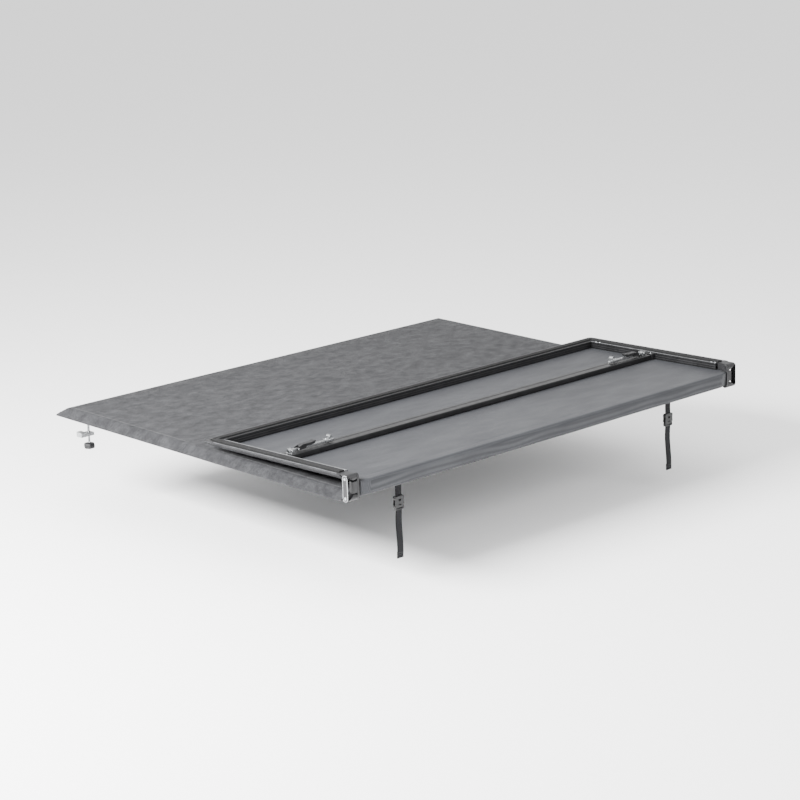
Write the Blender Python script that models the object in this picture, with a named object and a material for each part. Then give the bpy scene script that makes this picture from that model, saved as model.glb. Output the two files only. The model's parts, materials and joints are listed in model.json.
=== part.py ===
"""Soft tri-fold tonneau cover for a full-size pickup bed, with its rear panel folded over the middle one.

Metres, +Z up, +Y towards the cab, +X towards the passenger side. The origin is on the plane of the bed
rails, at the middle of the cover's cab edge. Every panel is modelled lying flat, as when the cover is
closed, and the rear panel is then turned over by its two fold axes, which are empties.
"""

import math

import bmesh
import bpy
from mathutils import Matrix, Vector

# Cover outline
HALF_WIDTH = 0.850
FRONT_LENGTH = 0.6425      # cab edge to the front fold's first pivot
MIDDLE_LENGTH = 0.6405     # pivot to pivot
REAR_LENGTH = 0.6255       # rear fold's second pivot to the tail edge
TOP = 0.028                # top of the cloth above the bed rails
CLOTH = 0.0020             # thickness of the coated cloth
HEM_HEIGHT = 0.006         # lower edge of the sloped band round the cover
BAND = 0.0325              # width of the sloped band, seen from above
GAP = 0.0003               # between faces that touch
OVERLAP = 0.001            # of two shapes that are joined, or of a cutter past what it cuts

# Folds
REAR_GAP = 0.030           # between the cloth faces at the rear fold when folded
FRONT_GAP = 0.056          # the same at the front fold, which also takes the folded rear panel
TAIL_GAP = 0.012           # between the cloth faces at the tail edge of the folded rear panel
PIVOT_HEIGHT = 0.0148
KNUCKLE_RADIUS = 0.0105
KNUCKLE_REACH = 0.036      # from a rail's end to the pivot
CLOTH_REACH = 0.012        # from a panel's cloth edge to the pivot
PIN_RADIUS = 0.0040
PIN_HOLE = 0.0043
PIN_HEAD = 0.0012          # how far the pin stands out past the link
PIN_ROOT = 0.004           # how deep it is set in the knuckle
KNUCKLE_INSET = 0.001
LINK_THICK = 0.0080
SPACER_CLEAR = 0.0010      # between the spacer and the knuckles' round ends
SPACER_INSET = 0.0008
SPACER_RISE = 0.0050

# Frame
RAIL_INNER = 0.800
RAIL_LOW = 0.004
RAIL_TOP = TOP - CLOTH - GAP
RAIL_WALL = 0.0025
SEAL_HALF = 0.0100
SEAL_DEPTH = 0.0080
BULB_RISE = 0.0022
BULB_INSET = 0.0032
BOW_WIDTH = 0.044
BOW_DEPTH = 0.016
BOW_WALL = 0.0025
REAR_BOW_AT = 0.318        # from the rear fold's second pivot
MIDDLE_BOW_INSET = 0.058   # from a pivot to the nearest bow's middle
FRONT_BOW_AT = 0.330

# Clamps under the cab end
CLAMP_X = 0.778
CLAMP_Y = -0.078
CLAMP_JAW_TOP = -0.046
CLAMP_JAW_HALF = 0.013
CLAMP_JAW_DEPTH = 0.016
CLAMP_LIP = 0.006          # height of the jaw's lip above its plate
SCREW_RADIUS = 0.0040
SCREW_BORE = 0.0044
SCREW_LENGTH = 0.105
SCREW_HEAD = 0.0070
KNOB_RADIUS = 0.0190
KNOB_HEIGHT = 0.019
TAB_LOW = 0.0130
TAB_THICK = 0.0050
TAB_HALF_WIDTH = 0.012
TAB_REACH = 0.014          # from the screw to the tab's free end

# Clamps stowed along the rear bow
SWING_X = 0.765
SWING_Z = 0.0024
EYE_RADIUS = 0.0055
SWING_PIN = 0.0025
SWING_HOLE = 0.0028
RIVET = 0.0018
RIVET_HOLE = 0.0021
ARM_HALF_WIDTH = 0.0060
ARM_HALF_DEPTH = 0.0025
ARM_LENGTH = 0.165
SIDE_CLEAR = 0.0004        # between the arm and the cheeks or ears beside it
LEVER_AT = 0.023
LEVER_LENGTH = 0.066
LEVER_DEPTH = 0.0110       # from the arm's middle to the underside of the grip
LEVER_NEAR = 0.0045        # how far the cheeks reach past the pivot
CHEEK_LENGTH = 0.0300
CHEEK_THICK = 0.0028
GRIP_START = 0.0090
JAW_AT = 0.128
JAW_LENGTH = 0.026
JAW_SIDE = 0.0030          # wall of the sleeve beside the arm
JAW_ROOF = 0.0024
JAW_HOOK = 0.0110
BRACKET_HALF = 0.0125
BRACKET_PLATE = 0.0012
EAR_HALF = 0.0070
EAR_THICK = 0.0040
EAR_DROP = 0.0050          # from the pin to the lower edge of the ears

# Hanging straps
STRAP_X = 0.590
STRAP_Z = 0.0020
WEB_HALF_WIDTH = 0.0125
WEB_HALF_THICK = 0.0008
WEB_LENGTH = 0.046
TAB_HALF = 0.0026          # half the thickness of the stitched end that the strap hangs by
LOOP_DROP = 0.0030         # from the axis to where the single webbing starts
BUCKLE_HALF_WIDTH = 0.0175
BUCKLE_HALF_DEPTH = 0.0055
BUCKLE_WALL = 0.0018
BUCKLE_CHEEK = 0.0035
SOCKET_LENGTH = 0.027
PLUG_LENGTH = 0.014
PRONG_AT = 0.0105
PRONG_HALF = 0.0022
PRONG_HALF_DEPTH = 0.0026
TONGUE_HALF = 0.0060
TAIL_LENGTH = 0.145

REAR_LINK = 2 * (TOP - PIVOT_HEIGHT) + REAR_GAP
FRONT_LINK = 2 * (TOP - PIVOT_HEIGHT) + FRONT_GAP
PIVOT_1 = -FRONT_LENGTH
PIVOT_2 = PIVOT_1 - FRONT_LINK
PIVOT_3 = PIVOT_2 - MIDDLE_LENGTH
PIVOT_4 = PIVOT_3 - REAR_LINK
TAIL_EDGE = PIVOT_4 - REAR_LENGTH
REST_TILT = math.asin((REAR_GAP - TAIL_GAP) / REAR_LENGTH)
REAR_FOLD_HALF = (math.pi + REST_TILT) / 2
CREASE = HALF_WIDTH - BAND
SLOPE = (TOP - HEM_HEIGHT) / BAND
UNDER_BAND = CLOTH * math.hypot(1, SLOPE)      # the sloped cloth's thickness, measured straight down
RAIL_OUTER = HALF_WIDTH - 0.0055
RAIL_CREASE = CREASE + (TOP - RAIL_TOP - UNDER_BAND - 2 * GAP) / SLOPE
RAIL_SHOULDER = TOP - (RAIL_OUTER - CREASE) * SLOPE - UNDER_BAND - 2 * GAP

SIDES = {"left": -1, "right": 1}


# ---------------------------------------------------------------- materials

def material(name, colour, roughness, metallic=0.0):
    found = bpy.data.materials.get(name)
    if found:
        return found
    made = bpy.data.materials.new(name)
    made.use_nodes = True
    shader = made.node_tree.nodes["Principled BSDF"]
    shader.inputs["Base Color"].default_value = (*colour, 1)
    shader.inputs["Roughness"].default_value = roughness
    shader.inputs["Metallic"].default_value = metallic
    return made


COLOURS = {
    "cloth": ((0.085, 0.085, 0.090), 0.62, 0.0),
    "black_rail": ((0.020, 0.020, 0.022), 0.38, 0.6),
    "rubber": ((0.012, 0.012, 0.012), 0.80, 0.0),
    "moulding": ((0.018, 0.018, 0.019), 0.50, 0.0),
    "zinc": ((0.55, 0.56, 0.58), 0.32, 1.0),
    "webbing": ((0.030, 0.030, 0.031), 0.85, 0.0),
}


# ---------------------------------------------------------------- building blocks

def axis_empty(name, place, parent=None, turn=0.0):
    """An empty on a joint's axis. Place is in flat-cover coordinates, and turn is about X."""
    empty = bpy.data.objects.new(name, None)
    bpy.context.collection.objects.link(empty)
    empty["flat_place"] = tuple(place)
    empty.parent = parent
    start = Vector(parent["flat_place"]) if parent else Vector((0, 0, 0))
    empty.location = Vector(place) - start
    empty.rotation_euler = (turn, 0, 0)
    return empty


def part(name, mesh, look, parent, origin=(0, 0, 0)):
    """Turns a bmesh in flat-cover coordinates into a named object whose origin is at origin."""
    bmesh.ops.translate(mesh, verts=mesh.verts, vec=-Vector(origin))
    bmesh.ops.recalc_face_normals(mesh, faces=mesh.faces)
    data = bpy.data.meshes.new(name)
    mesh.to_mesh(data)
    mesh.free()
    data.materials.append(material(look, *COLOURS[look]))
    data.shade_smooth()
    data.set_sharp_from_angle(angle=math.radians(35))
    made = bpy.data.objects.new(name, data)
    bpy.context.collection.objects.link(made)
    made.parent = parent
    made.location = Vector(origin) - Vector(parent["flat_place"])
    return made


def box(low, high):
    mesh = bmesh.new()
    size = Vector(high) - Vector(low)
    middle = (Vector(high) + Vector(low)) / 2
    place = Matrix.Translation(middle) @ Matrix.Diagonal((*size, 1))
    bmesh.ops.create_cube(mesh, size=1.0, matrix=place)
    return mesh


def circle(centre, radius, steps=16):
    turns = [2 * math.pi * (i + 0.5) / steps for i in range(steps)]
    return [(centre[0] + radius * math.cos(a), centre[1] + radius * math.sin(a)) for a in turns]


def arc(centre, radius, start, stop, steps=8):
    """Points on an arc, angles in degrees from the first axis towards the second."""
    turns = [math.radians(start + (stop - start) * i / steps) for i in range(steps + 1)]
    return [(centre[0] + radius * math.cos(a), centre[1] + radius * math.sin(a)) for a in turns]


AXES = {
    "x": lambda a, b, along: Vector((along, a, b)),    # outline in Y, Z
    "y": lambda a, b, along: Vector((a, along, b)),    # outline in X, Z
    "z": lambda a, b, along: Vector((a, b, along)),    # outline in X, Y
}


def extrusion(outline, start, stop, along, holes=()):
    """A prism of one outline, with any holes through it, from start to stop along an axis."""
    mesh = bmesh.new()
    place = AXES[along]
    edges = []
    for loop in (outline, *holes):
        verts = [mesh.verts.new(place(a, b, start)) for a, b in loop]
        edges += [mesh.edges.new((verts[i - 1], verts[i])) for i in range(len(verts))]
    faces = bmesh.ops.triangle_fill(mesh, edges=edges, use_beauty=True)["geom"]
    faces = [f for f in faces if isinstance(f, bmesh.types.BMFace)]
    grown = bmesh.ops.extrude_face_region(mesh, geom=faces, use_keep_orig=True)["geom"]
    moved = [v for v in grown if isinstance(v, bmesh.types.BMVert)]
    bmesh.ops.translate(mesh, verts=moved, vec=place(0, 0, stop - start))
    return mesh


def revolve(profile, centre, steps=16):
    """A turned piece about a vertical axis. Profile points are (radius, height), top to bottom."""
    mesh = bmesh.new()
    rings = []
    for radius, height in profile:
        rings.append([mesh.verts.new((a, b, height)) for a, b in circle(centre, radius, steps)])
    for upper, lower in zip(rings, rings[1:]):
        for i in range(steps):
            mesh.faces.new((upper[i - 1], upper[i], lower[i], lower[i - 1]))
    mesh.faces.new(rings[0])
    mesh.faces.new(rings[-1])
    return mesh


def combined(first, second, operation):
    """The EXACT Boolean of two bmeshes, as a new bmesh."""
    objects = []
    for mesh in (first, second):
        bmesh.ops.recalc_face_normals(mesh, faces=mesh.faces)
        data = bpy.data.meshes.new("scratch")
        mesh.to_mesh(data)
        mesh.free()
        objects.append(bpy.data.objects.new("scratch", data))
        bpy.context.collection.objects.link(objects[-1])
    cut = objects[0].modifiers.new("cut", "BOOLEAN")
    cut.operation = operation
    cut.object = objects[1]
    cut.solver = "EXACT"
    bpy.context.view_layer.update()
    ready = objects[0].evaluated_get(bpy.context.evaluated_depsgraph_get())
    result = bmesh.new()
    result.from_mesh(ready.to_mesh())
    ready.to_mesh_clear()
    for scratch in objects:
        data = scratch.data
        bpy.data.objects.remove(scratch)
        bpy.data.meshes.remove(data)
    bmesh.ops.remove_doubles(result, verts=result.verts, dist=0.00001)
    return result


def union(first, second):
    return combined(first, second, "UNION")


def difference(first, second):
    return combined(first, second, "DIFFERENCE")


# ---------------------------------------------------------------- frame pieces

def rail_outline():
    """Cross-section of the perimeter rail: distance out from the middle, and height."""
    groove = (RAIL_INNER + RAIL_OUTER) / 2
    return [
        (RAIL_INNER, RAIL_LOW),
        (RAIL_INNER, RAIL_TOP),
        (RAIL_CREASE, RAIL_TOP),
        (RAIL_OUTER, RAIL_SHOULDER),
        (RAIL_OUTER, RAIL_LOW),
        (groove + SEAL_HALF, RAIL_LOW),
        (groove + SEAL_HALF, RAIL_LOW + SEAL_DEPTH),
        (groove - SEAL_HALF, RAIL_LOW + SEAL_DEPTH),
        (groove - SEAL_HALF, RAIL_LOW),
    ]


def rail_hollow():
    """The chamber along the rail, above the seal's groove."""
    floor = RAIL_LOW + SEAL_DEPTH + RAIL_WALL
    ceiling = RAIL_TOP - RAIL_WALL
    return [
        (RAIL_INNER + RAIL_WALL, floor),
        (RAIL_CREASE + 2 * RAIL_WALL, floor),
        (RAIL_CREASE - 1.6 * RAIL_WALL, ceiling),
        (RAIL_INNER + RAIL_WALL, ceiling),
    ]


def seal_outline():
    """Bulb seal pressed into the rail's groove. It stands on the bed rail at height zero."""
    middle = (RAIL_INNER + RAIL_OUTER) / 2
    neck = SEAL_HALF - GAP
    return [
        (middle - neck, RAIL_LOW + SEAL_DEPTH - GAP),
        (middle + neck, RAIL_LOW + SEAL_DEPTH - GAP),
        (middle + neck, BULB_RISE),
        (middle + neck - BULB_INSET, 0.0),
        (middle - neck + BULB_INSET, 0.0),
        (middle - neck, BULB_RISE),
    ]


def mirrored(outline, side):
    return [(side * a, b) for a, b in outline]


def side_rail(name, side, near, far, parent):
    mesh = extrusion(mirrored(rail_outline(), side), near, far, "y", [mirrored(rail_hollow(), side)])
    return part(name, mesh, "black_rail", parent)


def side_seal(name, side, near, far, parent):
    return part(name, extrusion(mirrored(seal_outline(), side), near, far, "y"), "rubber", parent)


def end_outline(outline, edge, facing):
    """The rail's cross-section at an end of the cover: edge is the hem's Y, facing its outward sign."""
    return [(edge + facing * (a - HALF_WIDTH), b) for a, b in outline]


def end_rail_mesh(edge, facing):
    half = RAIL_INNER - GAP
    outline = end_outline(rail_outline(), edge, facing)
    hollow = end_outline(rail_hollow(), edge, facing)
    return extrusion(outline, -half, half, "x", [hollow])


def u_sweep(outline, edge, facing, far):
    """The cross-section carried along one side of a panel, round its closed end and back.
    edge is the hem's Y at the closed end, facing its outward sign, and far the Y where both sides stop."""
    mesh = bmesh.new()
    ends = [edge + facing * (a - HALF_WIDTH) for a, b in outline]
    path = [(-1, [far] * len(outline)), (-1, ends), (1, ends), (1, [far] * len(outline))]
    rings = [
        [mesh.verts.new((side * a, y, b)) for (a, b), y in zip(outline, places)]
        for side, places in path
    ]
    for first, second in zip(rings, rings[1:]):
        for i in range(len(outline)):
            mesh.faces.new((first[i - 1], first[i], second[i], second[i - 1]))
    mesh.faces.new(rings[0])
    mesh.faces.new(rings[-1])
    return mesh


def groove_outline():
    """What the seal's groove takes out of a corner block."""
    middle = (RAIL_INNER + RAIL_OUTER) / 2
    top = RAIL_LOW + SEAL_DEPTH
    low = RAIL_LOW - OVERLAP
    return [
        (middle - SEAL_HALF, low),
        (middle + SEAL_HALF, low),
        (middle + SEAL_HALF, top),
        (middle - SEAL_HALF, top),
    ]


def bow(middle):
    """A crossbow between the side rails, as a hollow flat tube."""
    half = BOW_WIDTH / 2
    top = RAIL_TOP
    low = RAIL_TOP - BOW_DEPTH
    outline = [(middle - half, low), (middle + half, low), (middle + half, top), (middle - half, top)]
    inner = half - BOW_WALL
    hollow = [
        (middle - inner, low + BOW_WALL),
        (middle + inner, low + BOW_WALL),
        (middle + inner, top - BOW_WALL),
        (middle - inner, top - BOW_WALL),
    ]
    reach = RAIL_INNER - GAP
    return extrusion(outline, -reach, reach, "x", [hollow])


def corner(side, edge, facing):
    """A cast corner block that joins a side rail to an end rail, sloped outside and grooved below."""
    outer = RAIL_OUTER - HALF_WIDTH
    inner = RAIL_INNER - HALF_WIDTH
    top_out = RAIL_CREASE - HALF_WIDTH
    mesh = bmesh.new()

    def ring(reach, height):
        corners = ((inner, inner), (reach, inner), (reach, reach), (inner, reach))
        return [mesh.verts.new((side * (HALF_WIDTH + a), edge + facing * b, height)) for a, b in corners]

    rings = [ring(outer, RAIL_LOW), ring(outer, RAIL_SHOULDER), ring(top_out, RAIL_TOP)]
    for lower, upper in zip(rings, rings[1:]):
        for i in range(4):
            mesh.faces.new((lower[i - 1], lower[i], upper[i], upper[i - 1]))
    mesh.faces.new(rings[0])
    mesh.faces.new(rings[-1])
    return difference(mesh, u_sweep(groove_outline(), edge, facing, edge - facing * 0.1))


def cloth_panel(near, far, near_band, far_band):
    """A panel's cloth as one closed sheet: flat top, sloped bands on both sides and on a banded end.
    near and far are its Y limits, near the cab and far from it."""
    mesh = bmesh.new()

    def layer(drop, crease_inset, hem_inset):
        crease = CREASE - crease_inset
        outer = HALF_WIDTH - hem_inset
        near_in = near - (BAND + crease_inset if near_band else 0)
        far_in = far + (BAND + crease_inset if far_band else 0)
        near_out = near - (hem_inset if near_band else 0)
        far_out = far + (hem_inset if far_band else 0)
        upper = [(-crease, near_in), (crease, near_in), (crease, far_in), (-crease, far_in)]
        lower = [(-outer, near_out), (outer, near_out), (outer, far_out), (-outer, far_out)]
        return (
            [mesh.verts.new((a, b, TOP - drop)) for a, b in upper],
            [mesh.verts.new((a, b, HEM_HEIGHT)) for a, b in lower],
        )

    top_outer, hem_outer = layer(0.0, 0.0, 0.0)
    top_inner, hem_inner = layer(CLOTH, (UNDER_BAND - CLOTH) / SLOPE, UNDER_BAND / SLOPE)
    for upper, lower in ((top_outer, hem_outer), (top_inner, hem_inner)):
        mesh.faces.new(upper)
        mesh.faces.new((upper[0], upper[3], lower[3], lower[0]))
        mesh.faces.new((upper[1], upper[2], lower[2], lower[1]))
        if near_band:
            mesh.faces.new((upper[0], upper[1], lower[1], lower[0]))
        if far_band:
            mesh.faces.new((upper[3], upper[2], lower[2], lower[3]))
    for i, j in ((0, 3), (1, 2)):
        mesh.faces.new((hem_outer[i], hem_outer[j], hem_inner[j], hem_inner[i]))
    for banded, (i, j) in ((near_band, (0, 1)), (far_band, (3, 2))):
        if banded:
            mesh.faces.new((hem_outer[i], hem_outer[j], hem_inner[j], hem_inner[i]))
        else:
            mesh.faces.new((top_outer[i], top_outer[j], top_inner[j], top_inner[i]))
            for k in (i, j):
                mesh.faces.new((top_outer[k], hem_outer[k], hem_inner[k], top_inner[k]))
    return mesh


# ---------------------------------------------------------------- hinges

def knuckle(side, pivot, facing):
    """Moulded hinge end on a side rail, with its pin. facing is the sign of Y from rail to pivot."""
    start = pivot - facing * (KNUCKLE_REACH - GAP)
    inner = RAIL_INNER + LINK_THICK + 2 * GAP
    end = arc((pivot, PIVOT_HEIGHT), KNUCKLE_RADIUS, -90, 90) if facing > 0 else \
        arc((pivot, PIVOT_HEIGHT), KNUCKLE_RADIUS, 270, 90)
    low = PIVOT_HEIGHT - KNUCKLE_RADIUS
    high = PIVOT_HEIGHT + KNUCKLE_RADIUS
    outline = [(start, high), (start, low), *end]
    mesh = extrusion(outline, side * inner, side * (RAIL_OUTER - KNUCKLE_INSET), "x")
    cut = bmesh.ops.bisect_plane(
        mesh,
        geom=[*mesh.verts, *mesh.edges, *mesh.faces],
        plane_co=(side * RAIL_CREASE, 0, RAIL_TOP - GAP),
        plane_no=(side * SLOPE, 0, 1),
        clear_outer=True,
    )
    rim = [e for e in cut["geom_cut"] if isinstance(e, bmesh.types.BMEdge)]
    bmesh.ops.edgeloop_fill(mesh, edges=rim)
    pin = extrusion(
        circle((pivot, PIVOT_HEIGHT), PIN_RADIUS),
        side * (RAIL_INNER - PIN_HEAD),
        side * (inner + PIN_ROOT),
        "x",
    )
    return union(mesh, pin)


def link(side, near, far):
    """Link plate between two pivots, with a spacer block that fills the gap between the knuckles."""
    middle = PIVOT_HEIGHT
    outline = arc((near, middle), KNUCKLE_RADIUS, 90, -90) + arc((far, middle), KNUCKLE_RADIUS, 270, 90)
    holes = [circle((near, middle), PIN_HOLE), circle((far, middle), PIN_HOLE)]
    face = RAIL_INNER + GAP
    plate = extrusion(outline, side * face, side * (face + LINK_THICK), "x", holes)
    clear = KNUCKLE_RADIUS + SPACER_CLEAR
    inner = side * (RAIL_INNER + LINK_THICK / 2)
    outer = side * (CREASE + 0.006)
    spacer = box(
        (min(inner, outer), far + clear, middle - KNUCKLE_RADIUS + SPACER_INSET),
        (max(inner, outer), near - clear, middle + SPACER_RISE),
    )
    return union(plate, spacer)


def folded_strip(name, points, width, parent):
    """The strip of cloth round a closed fold, from its centre line of (Y, Z) points in the world."""
    half = CLOTH / 2
    outer = []
    inner = []
    for i, here in enumerate(points):
        before = Vector(points[max(i - 1, 0)])
        after = Vector(points[min(i + 1, len(points) - 1)])
        along = (after - before).normalized()
        across = Vector((-along.y, along.x)) * half
        outer.append(tuple(Vector(here) + across))
        inner.append(tuple(Vector(here) - across))
    mesh = extrusion(outer + inner[::-1], -width, width, "x")
    made = part(name, mesh, "cloth", parent)
    bpy.context.view_layer.update()
    made.matrix_world = Matrix.Identity(4)
    return made


# ---------------------------------------------------------------- the three panels

def build_front(root):
    rail_near = -(HALF_WIDTH - RAIL_INNER) - GAP
    rail_far = PIVOT_1 + KNUCKLE_REACH
    for word, side in SIDES.items():
        side_rail(f"front_rail_{word}", side, rail_near, rail_far, root)
        part(f"front_knuckle_{word}", knuckle(side, PIVOT_1, -1), "moulding", root)
        part(f"header_corner_{word}", corner(side, 0.0, 1), "moulding", root)
    header_rail(root)
    part("front_seal", u_sweep(seal_outline(), 0.0, 1, rail_far), "rubber", root)
    part("front_bow", bow(-FRONT_BOW_AT), "black_rail", root)
    cloth = cloth_panel(0.0, PIVOT_1 + CLOTH_REACH, True, False)
    part("front_cloth", cloth, "cloth", root)


def header_rail(parent):
    """The cab-end rail, with a tab behind each end that carries a screw clamp."""
    mesh = end_rail_mesh(0.0, 1)
    face = RAIL_INNER - HALF_WIDTH
    for side in SIDES.values():
        x = side * CLAMP_X
        tab = box(
            (x - TAB_HALF_WIDTH, CLAMP_Y - TAB_REACH, TAB_LOW),
            (x + TAB_HALF_WIDTH, face + OVERLAP, TAB_LOW + TAB_THICK),
        )
        hole = extrusion(circle((x, CLAMP_Y), SCREW_BORE), TAB_LOW - OVERLAP, TAB_LOW + 2 * TAB_THICK, "z")
        mesh = union(mesh, difference(tab, hole))
    return part("header_rail", mesh, "black_rail", parent)


def build_middle(middle):
    near = PIVOT_2 - KNUCKLE_REACH
    far = PIVOT_3 + KNUCKLE_REACH
    for word, side in SIDES.items():
        side_rail(f"middle_rail_{word}", side, near, far, middle)
        side_seal(f"middle_seal_{word}", side, near, far, middle)
        part(f"middle_front_knuckle_{word}", knuckle(side, PIVOT_2, 1), "moulding", middle)
        part(f"middle_rear_knuckle_{word}", knuckle(side, PIVOT_3, -1), "moulding", middle)
    part("middle_front_bow", bow(PIVOT_2 - MIDDLE_BOW_INSET), "black_rail", middle)
    part("middle_rear_bow", bow(PIVOT_3 + MIDDLE_BOW_INSET), "black_rail", middle)
    cloth = cloth_panel(PIVOT_2 - CLOTH_REACH, PIVOT_3 + CLOTH_REACH, False, False)
    part("middle_cloth", cloth, "cloth", middle)


def build_rear(rear):
    near = PIVOT_4 - KNUCKLE_REACH
    far = TAIL_EDGE + (HALF_WIDTH - RAIL_INNER) + GAP
    for word, side in SIDES.items():
        side_rail(f"rear_rail_{word}", side, near, far, rear)
        part(f"rear_knuckle_{word}", knuckle(side, PIVOT_4, 1), "moulding", rear)
        part(f"tail_corner_{word}", corner(side, TAIL_EDGE, -1), "moulding", rear)
    part("tail_rail", end_rail_mesh(TAIL_EDGE, -1), "black_rail", rear)
    part("rear_seal", u_sweep(seal_outline(), TAIL_EDGE, -1, near), "rubber", rear)
    part("rear_bow", bow(PIVOT_4 - REAR_BOW_AT), "black_rail", rear)
    cloth = cloth_panel(PIVOT_4 - CLOTH_REACH, TAIL_EDGE, False, True)
    part("rear_cloth", cloth, "cloth", rear)


# ---------------------------------------------------------------- clamps

def clamp_bracket(side, middle):
    """Pressed bracket under the rear bow: a plate with two ears that carry a swinging clamp."""
    top = RAIL_TOP - BOW_DEPTH - GAP
    plate_low = top - BRACKET_PLATE
    inner = ARM_HALF_WIDTH + SIDE_CLEAR
    outer = inner + EAR_THICK
    mesh = box(
        (side * SWING_X - BRACKET_HALF, middle - outer, plate_low),
        (side * SWING_X + BRACKET_HALF, middle + outer, top),
    )
    pivot = (side * SWING_X, SWING_Z)
    for face in (-1, 1):
        ear = box(
            (side * SWING_X - EAR_HALF, middle + min(face * inner, face * outer), SWING_Z - EAR_DROP),
            (side * SWING_X + EAR_HALF, middle + max(face * inner, face * outer), top),
        )
        hole = extrusion(circle(pivot, SWING_HOLE, 12), middle - 2 * outer, middle + 2 * outer, "y")
        mesh = union(mesh, difference(ear, hole))
    return mesh


def clamp_arm(side, middle):
    """Flat zinc arm, with the eye and pin that it swings on. It points inwards when stowed."""
    inner = side * (SWING_X - ARM_LENGTH)
    eye = arc((side * SWING_X, SWING_Z), EYE_RADIUS, -90, 90) if side > 0 else \
        arc((side * SWING_X, SWING_Z), EYE_RADIUS, 270, 90)
    neck = side * (SWING_X - EYE_RADIUS - 0.0005)
    outline = [
        (neck, SWING_Z + ARM_HALF_DEPTH),
        (inner, SWING_Z + ARM_HALF_DEPTH),
        (inner, SWING_Z - ARM_HALF_DEPTH),
        (neck, SWING_Z - ARM_HALF_DEPTH),
        *eye,
    ]
    arm = extrusion(outline, middle - ARM_HALF_WIDTH, middle + ARM_HALF_WIDTH, "y")
    pin_half = ARM_HALF_WIDTH + 0.0050
    swing = (side * SWING_X, SWING_Z)
    pin = extrusion(circle(swing, SWING_PIN, 12), middle - pin_half, middle + pin_half, "y")
    rivet_half = ARM_HALF_WIDTH + 0.0035
    pivot = (side * (SWING_X - LEVER_AT), SWING_Z)
    rivet = extrusion(circle(pivot, RIVET, 12), middle - rivet_half, middle + rivet_half, "y")
    return union(union(arm, pin), rivet)


def clamp_lever(side, middle):
    """Cam lever: two cheeks beside the arm, joined by a grip below it that starts clear of the pivot."""
    pivot = side * (SWING_X - LEVER_AT)
    web_low = SWING_Z - LEVER_DEPTH
    web_top = SWING_Z - ARM_HALF_DEPTH - 2 * SIDE_CLEAR
    outer = ARM_HALF_WIDTH + SIDE_CLEAR + CHEEK_THICK
    near = side * (SWING_X - LEVER_AT + LEVER_NEAR)
    start = side * (SWING_X - LEVER_AT - GRIP_START)
    tip = side * (SWING_X - LEVER_AT - LEVER_LENGTH)
    cheek_end = side * (SWING_X - LEVER_AT - CHEEK_LENGTH)
    grip_outline = [
        (start, web_top),
        (start, web_low + 0.0020),
        (start + (tip - start) * 0.08, web_low),
        (start + (tip - start) * 0.80, web_low),
        (tip, web_low - 0.0030),
        (tip, web_low + 0.0010),
        (start + (tip - start) * 0.86, web_top),
    ]
    mesh = extrusion(grip_outline, middle - outer, middle + outer, "y")
    for face in (-1, 1):
        cheek_outline = [
            (near, SWING_Z - 0.0045),
            (near, SWING_Z + 0.0040),
            (cheek_end, SWING_Z + 0.0010),
            (cheek_end, web_low + 0.0020),
            (start, web_low + 0.0020),
        ]
        inner = middle + face * (ARM_HALF_WIDTH + SIDE_CLEAR)
        hole = circle((pivot, SWING_Z), RIVET_HOLE, 12)
        cheek = extrusion(cheek_outline, inner, middle + face * outer, "y", [hole])
        mesh = union(mesh, cheek)
    return mesh


def clamp_jaw(side, middle):
    """Sleeve that slides on the arm, with the hook that goes under the bed rail's flange."""
    near = side * (SWING_X - JAW_AT)
    far = side * (SWING_X - JAW_AT - JAW_LENGTH)
    across = ARM_HALF_WIDTH + JAW_SIDE
    low = SWING_Z - ARM_HALF_DEPTH - JAW_SIDE
    high = SWING_Z + ARM_HALF_DEPTH + JAW_ROOF
    outline = [
        (middle - across, low),
        (middle + across, low),
        (middle + across, high),
        (middle - across, high),
    ]
    slot_y = ARM_HALF_WIDTH + GAP
    slot_z = ARM_HALF_DEPTH + GAP
    hole = [
        (middle - slot_y, SWING_Z - slot_z),
        (middle + slot_y, SWING_Z - slot_z),
        (middle + slot_y, SWING_Z + slot_z),
        (middle - slot_y, SWING_Z + slot_z),
    ]
    sleeve = extrusion(outline, near, far, "x", [hole])
    hook_out = side * (SWING_X - JAW_AT - JAW_LENGTH + JAW_HOOK)
    hook = box(
        (min(far, hook_out), middle - across, low - JAW_HOOK),
        (max(far, hook_out), middle + across, low + OVERLAP),
    )
    return union(sleeve, hook)


def build_rear_clamps(rear):
    middle = PIVOT_4 - REAR_BOW_AT
    for word, side in SIDES.items():
        swing = axis_empty(f"clamp_swing_axis_{word}", (side * SWING_X, middle, SWING_Z), rear)
        lever_place = (side * (SWING_X - LEVER_AT), middle, SWING_Z)
        lever_axis = axis_empty(f"clamp_lever_axis_{word}", lever_place, swing)
        part(f"clamp_bracket_{word}", clamp_bracket(side, middle), "zinc", rear)
        part(f"clamp_arm_{word}", clamp_arm(side, middle), "zinc", swing, swing["flat_place"])
        part(f"clamp_lever_{word}", clamp_lever(side, middle), "moulding", lever_axis, lever_place)
        part(f"clamp_jaw_{word}", clamp_jaw(side, middle), "zinc", swing, swing["flat_place"])


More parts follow.
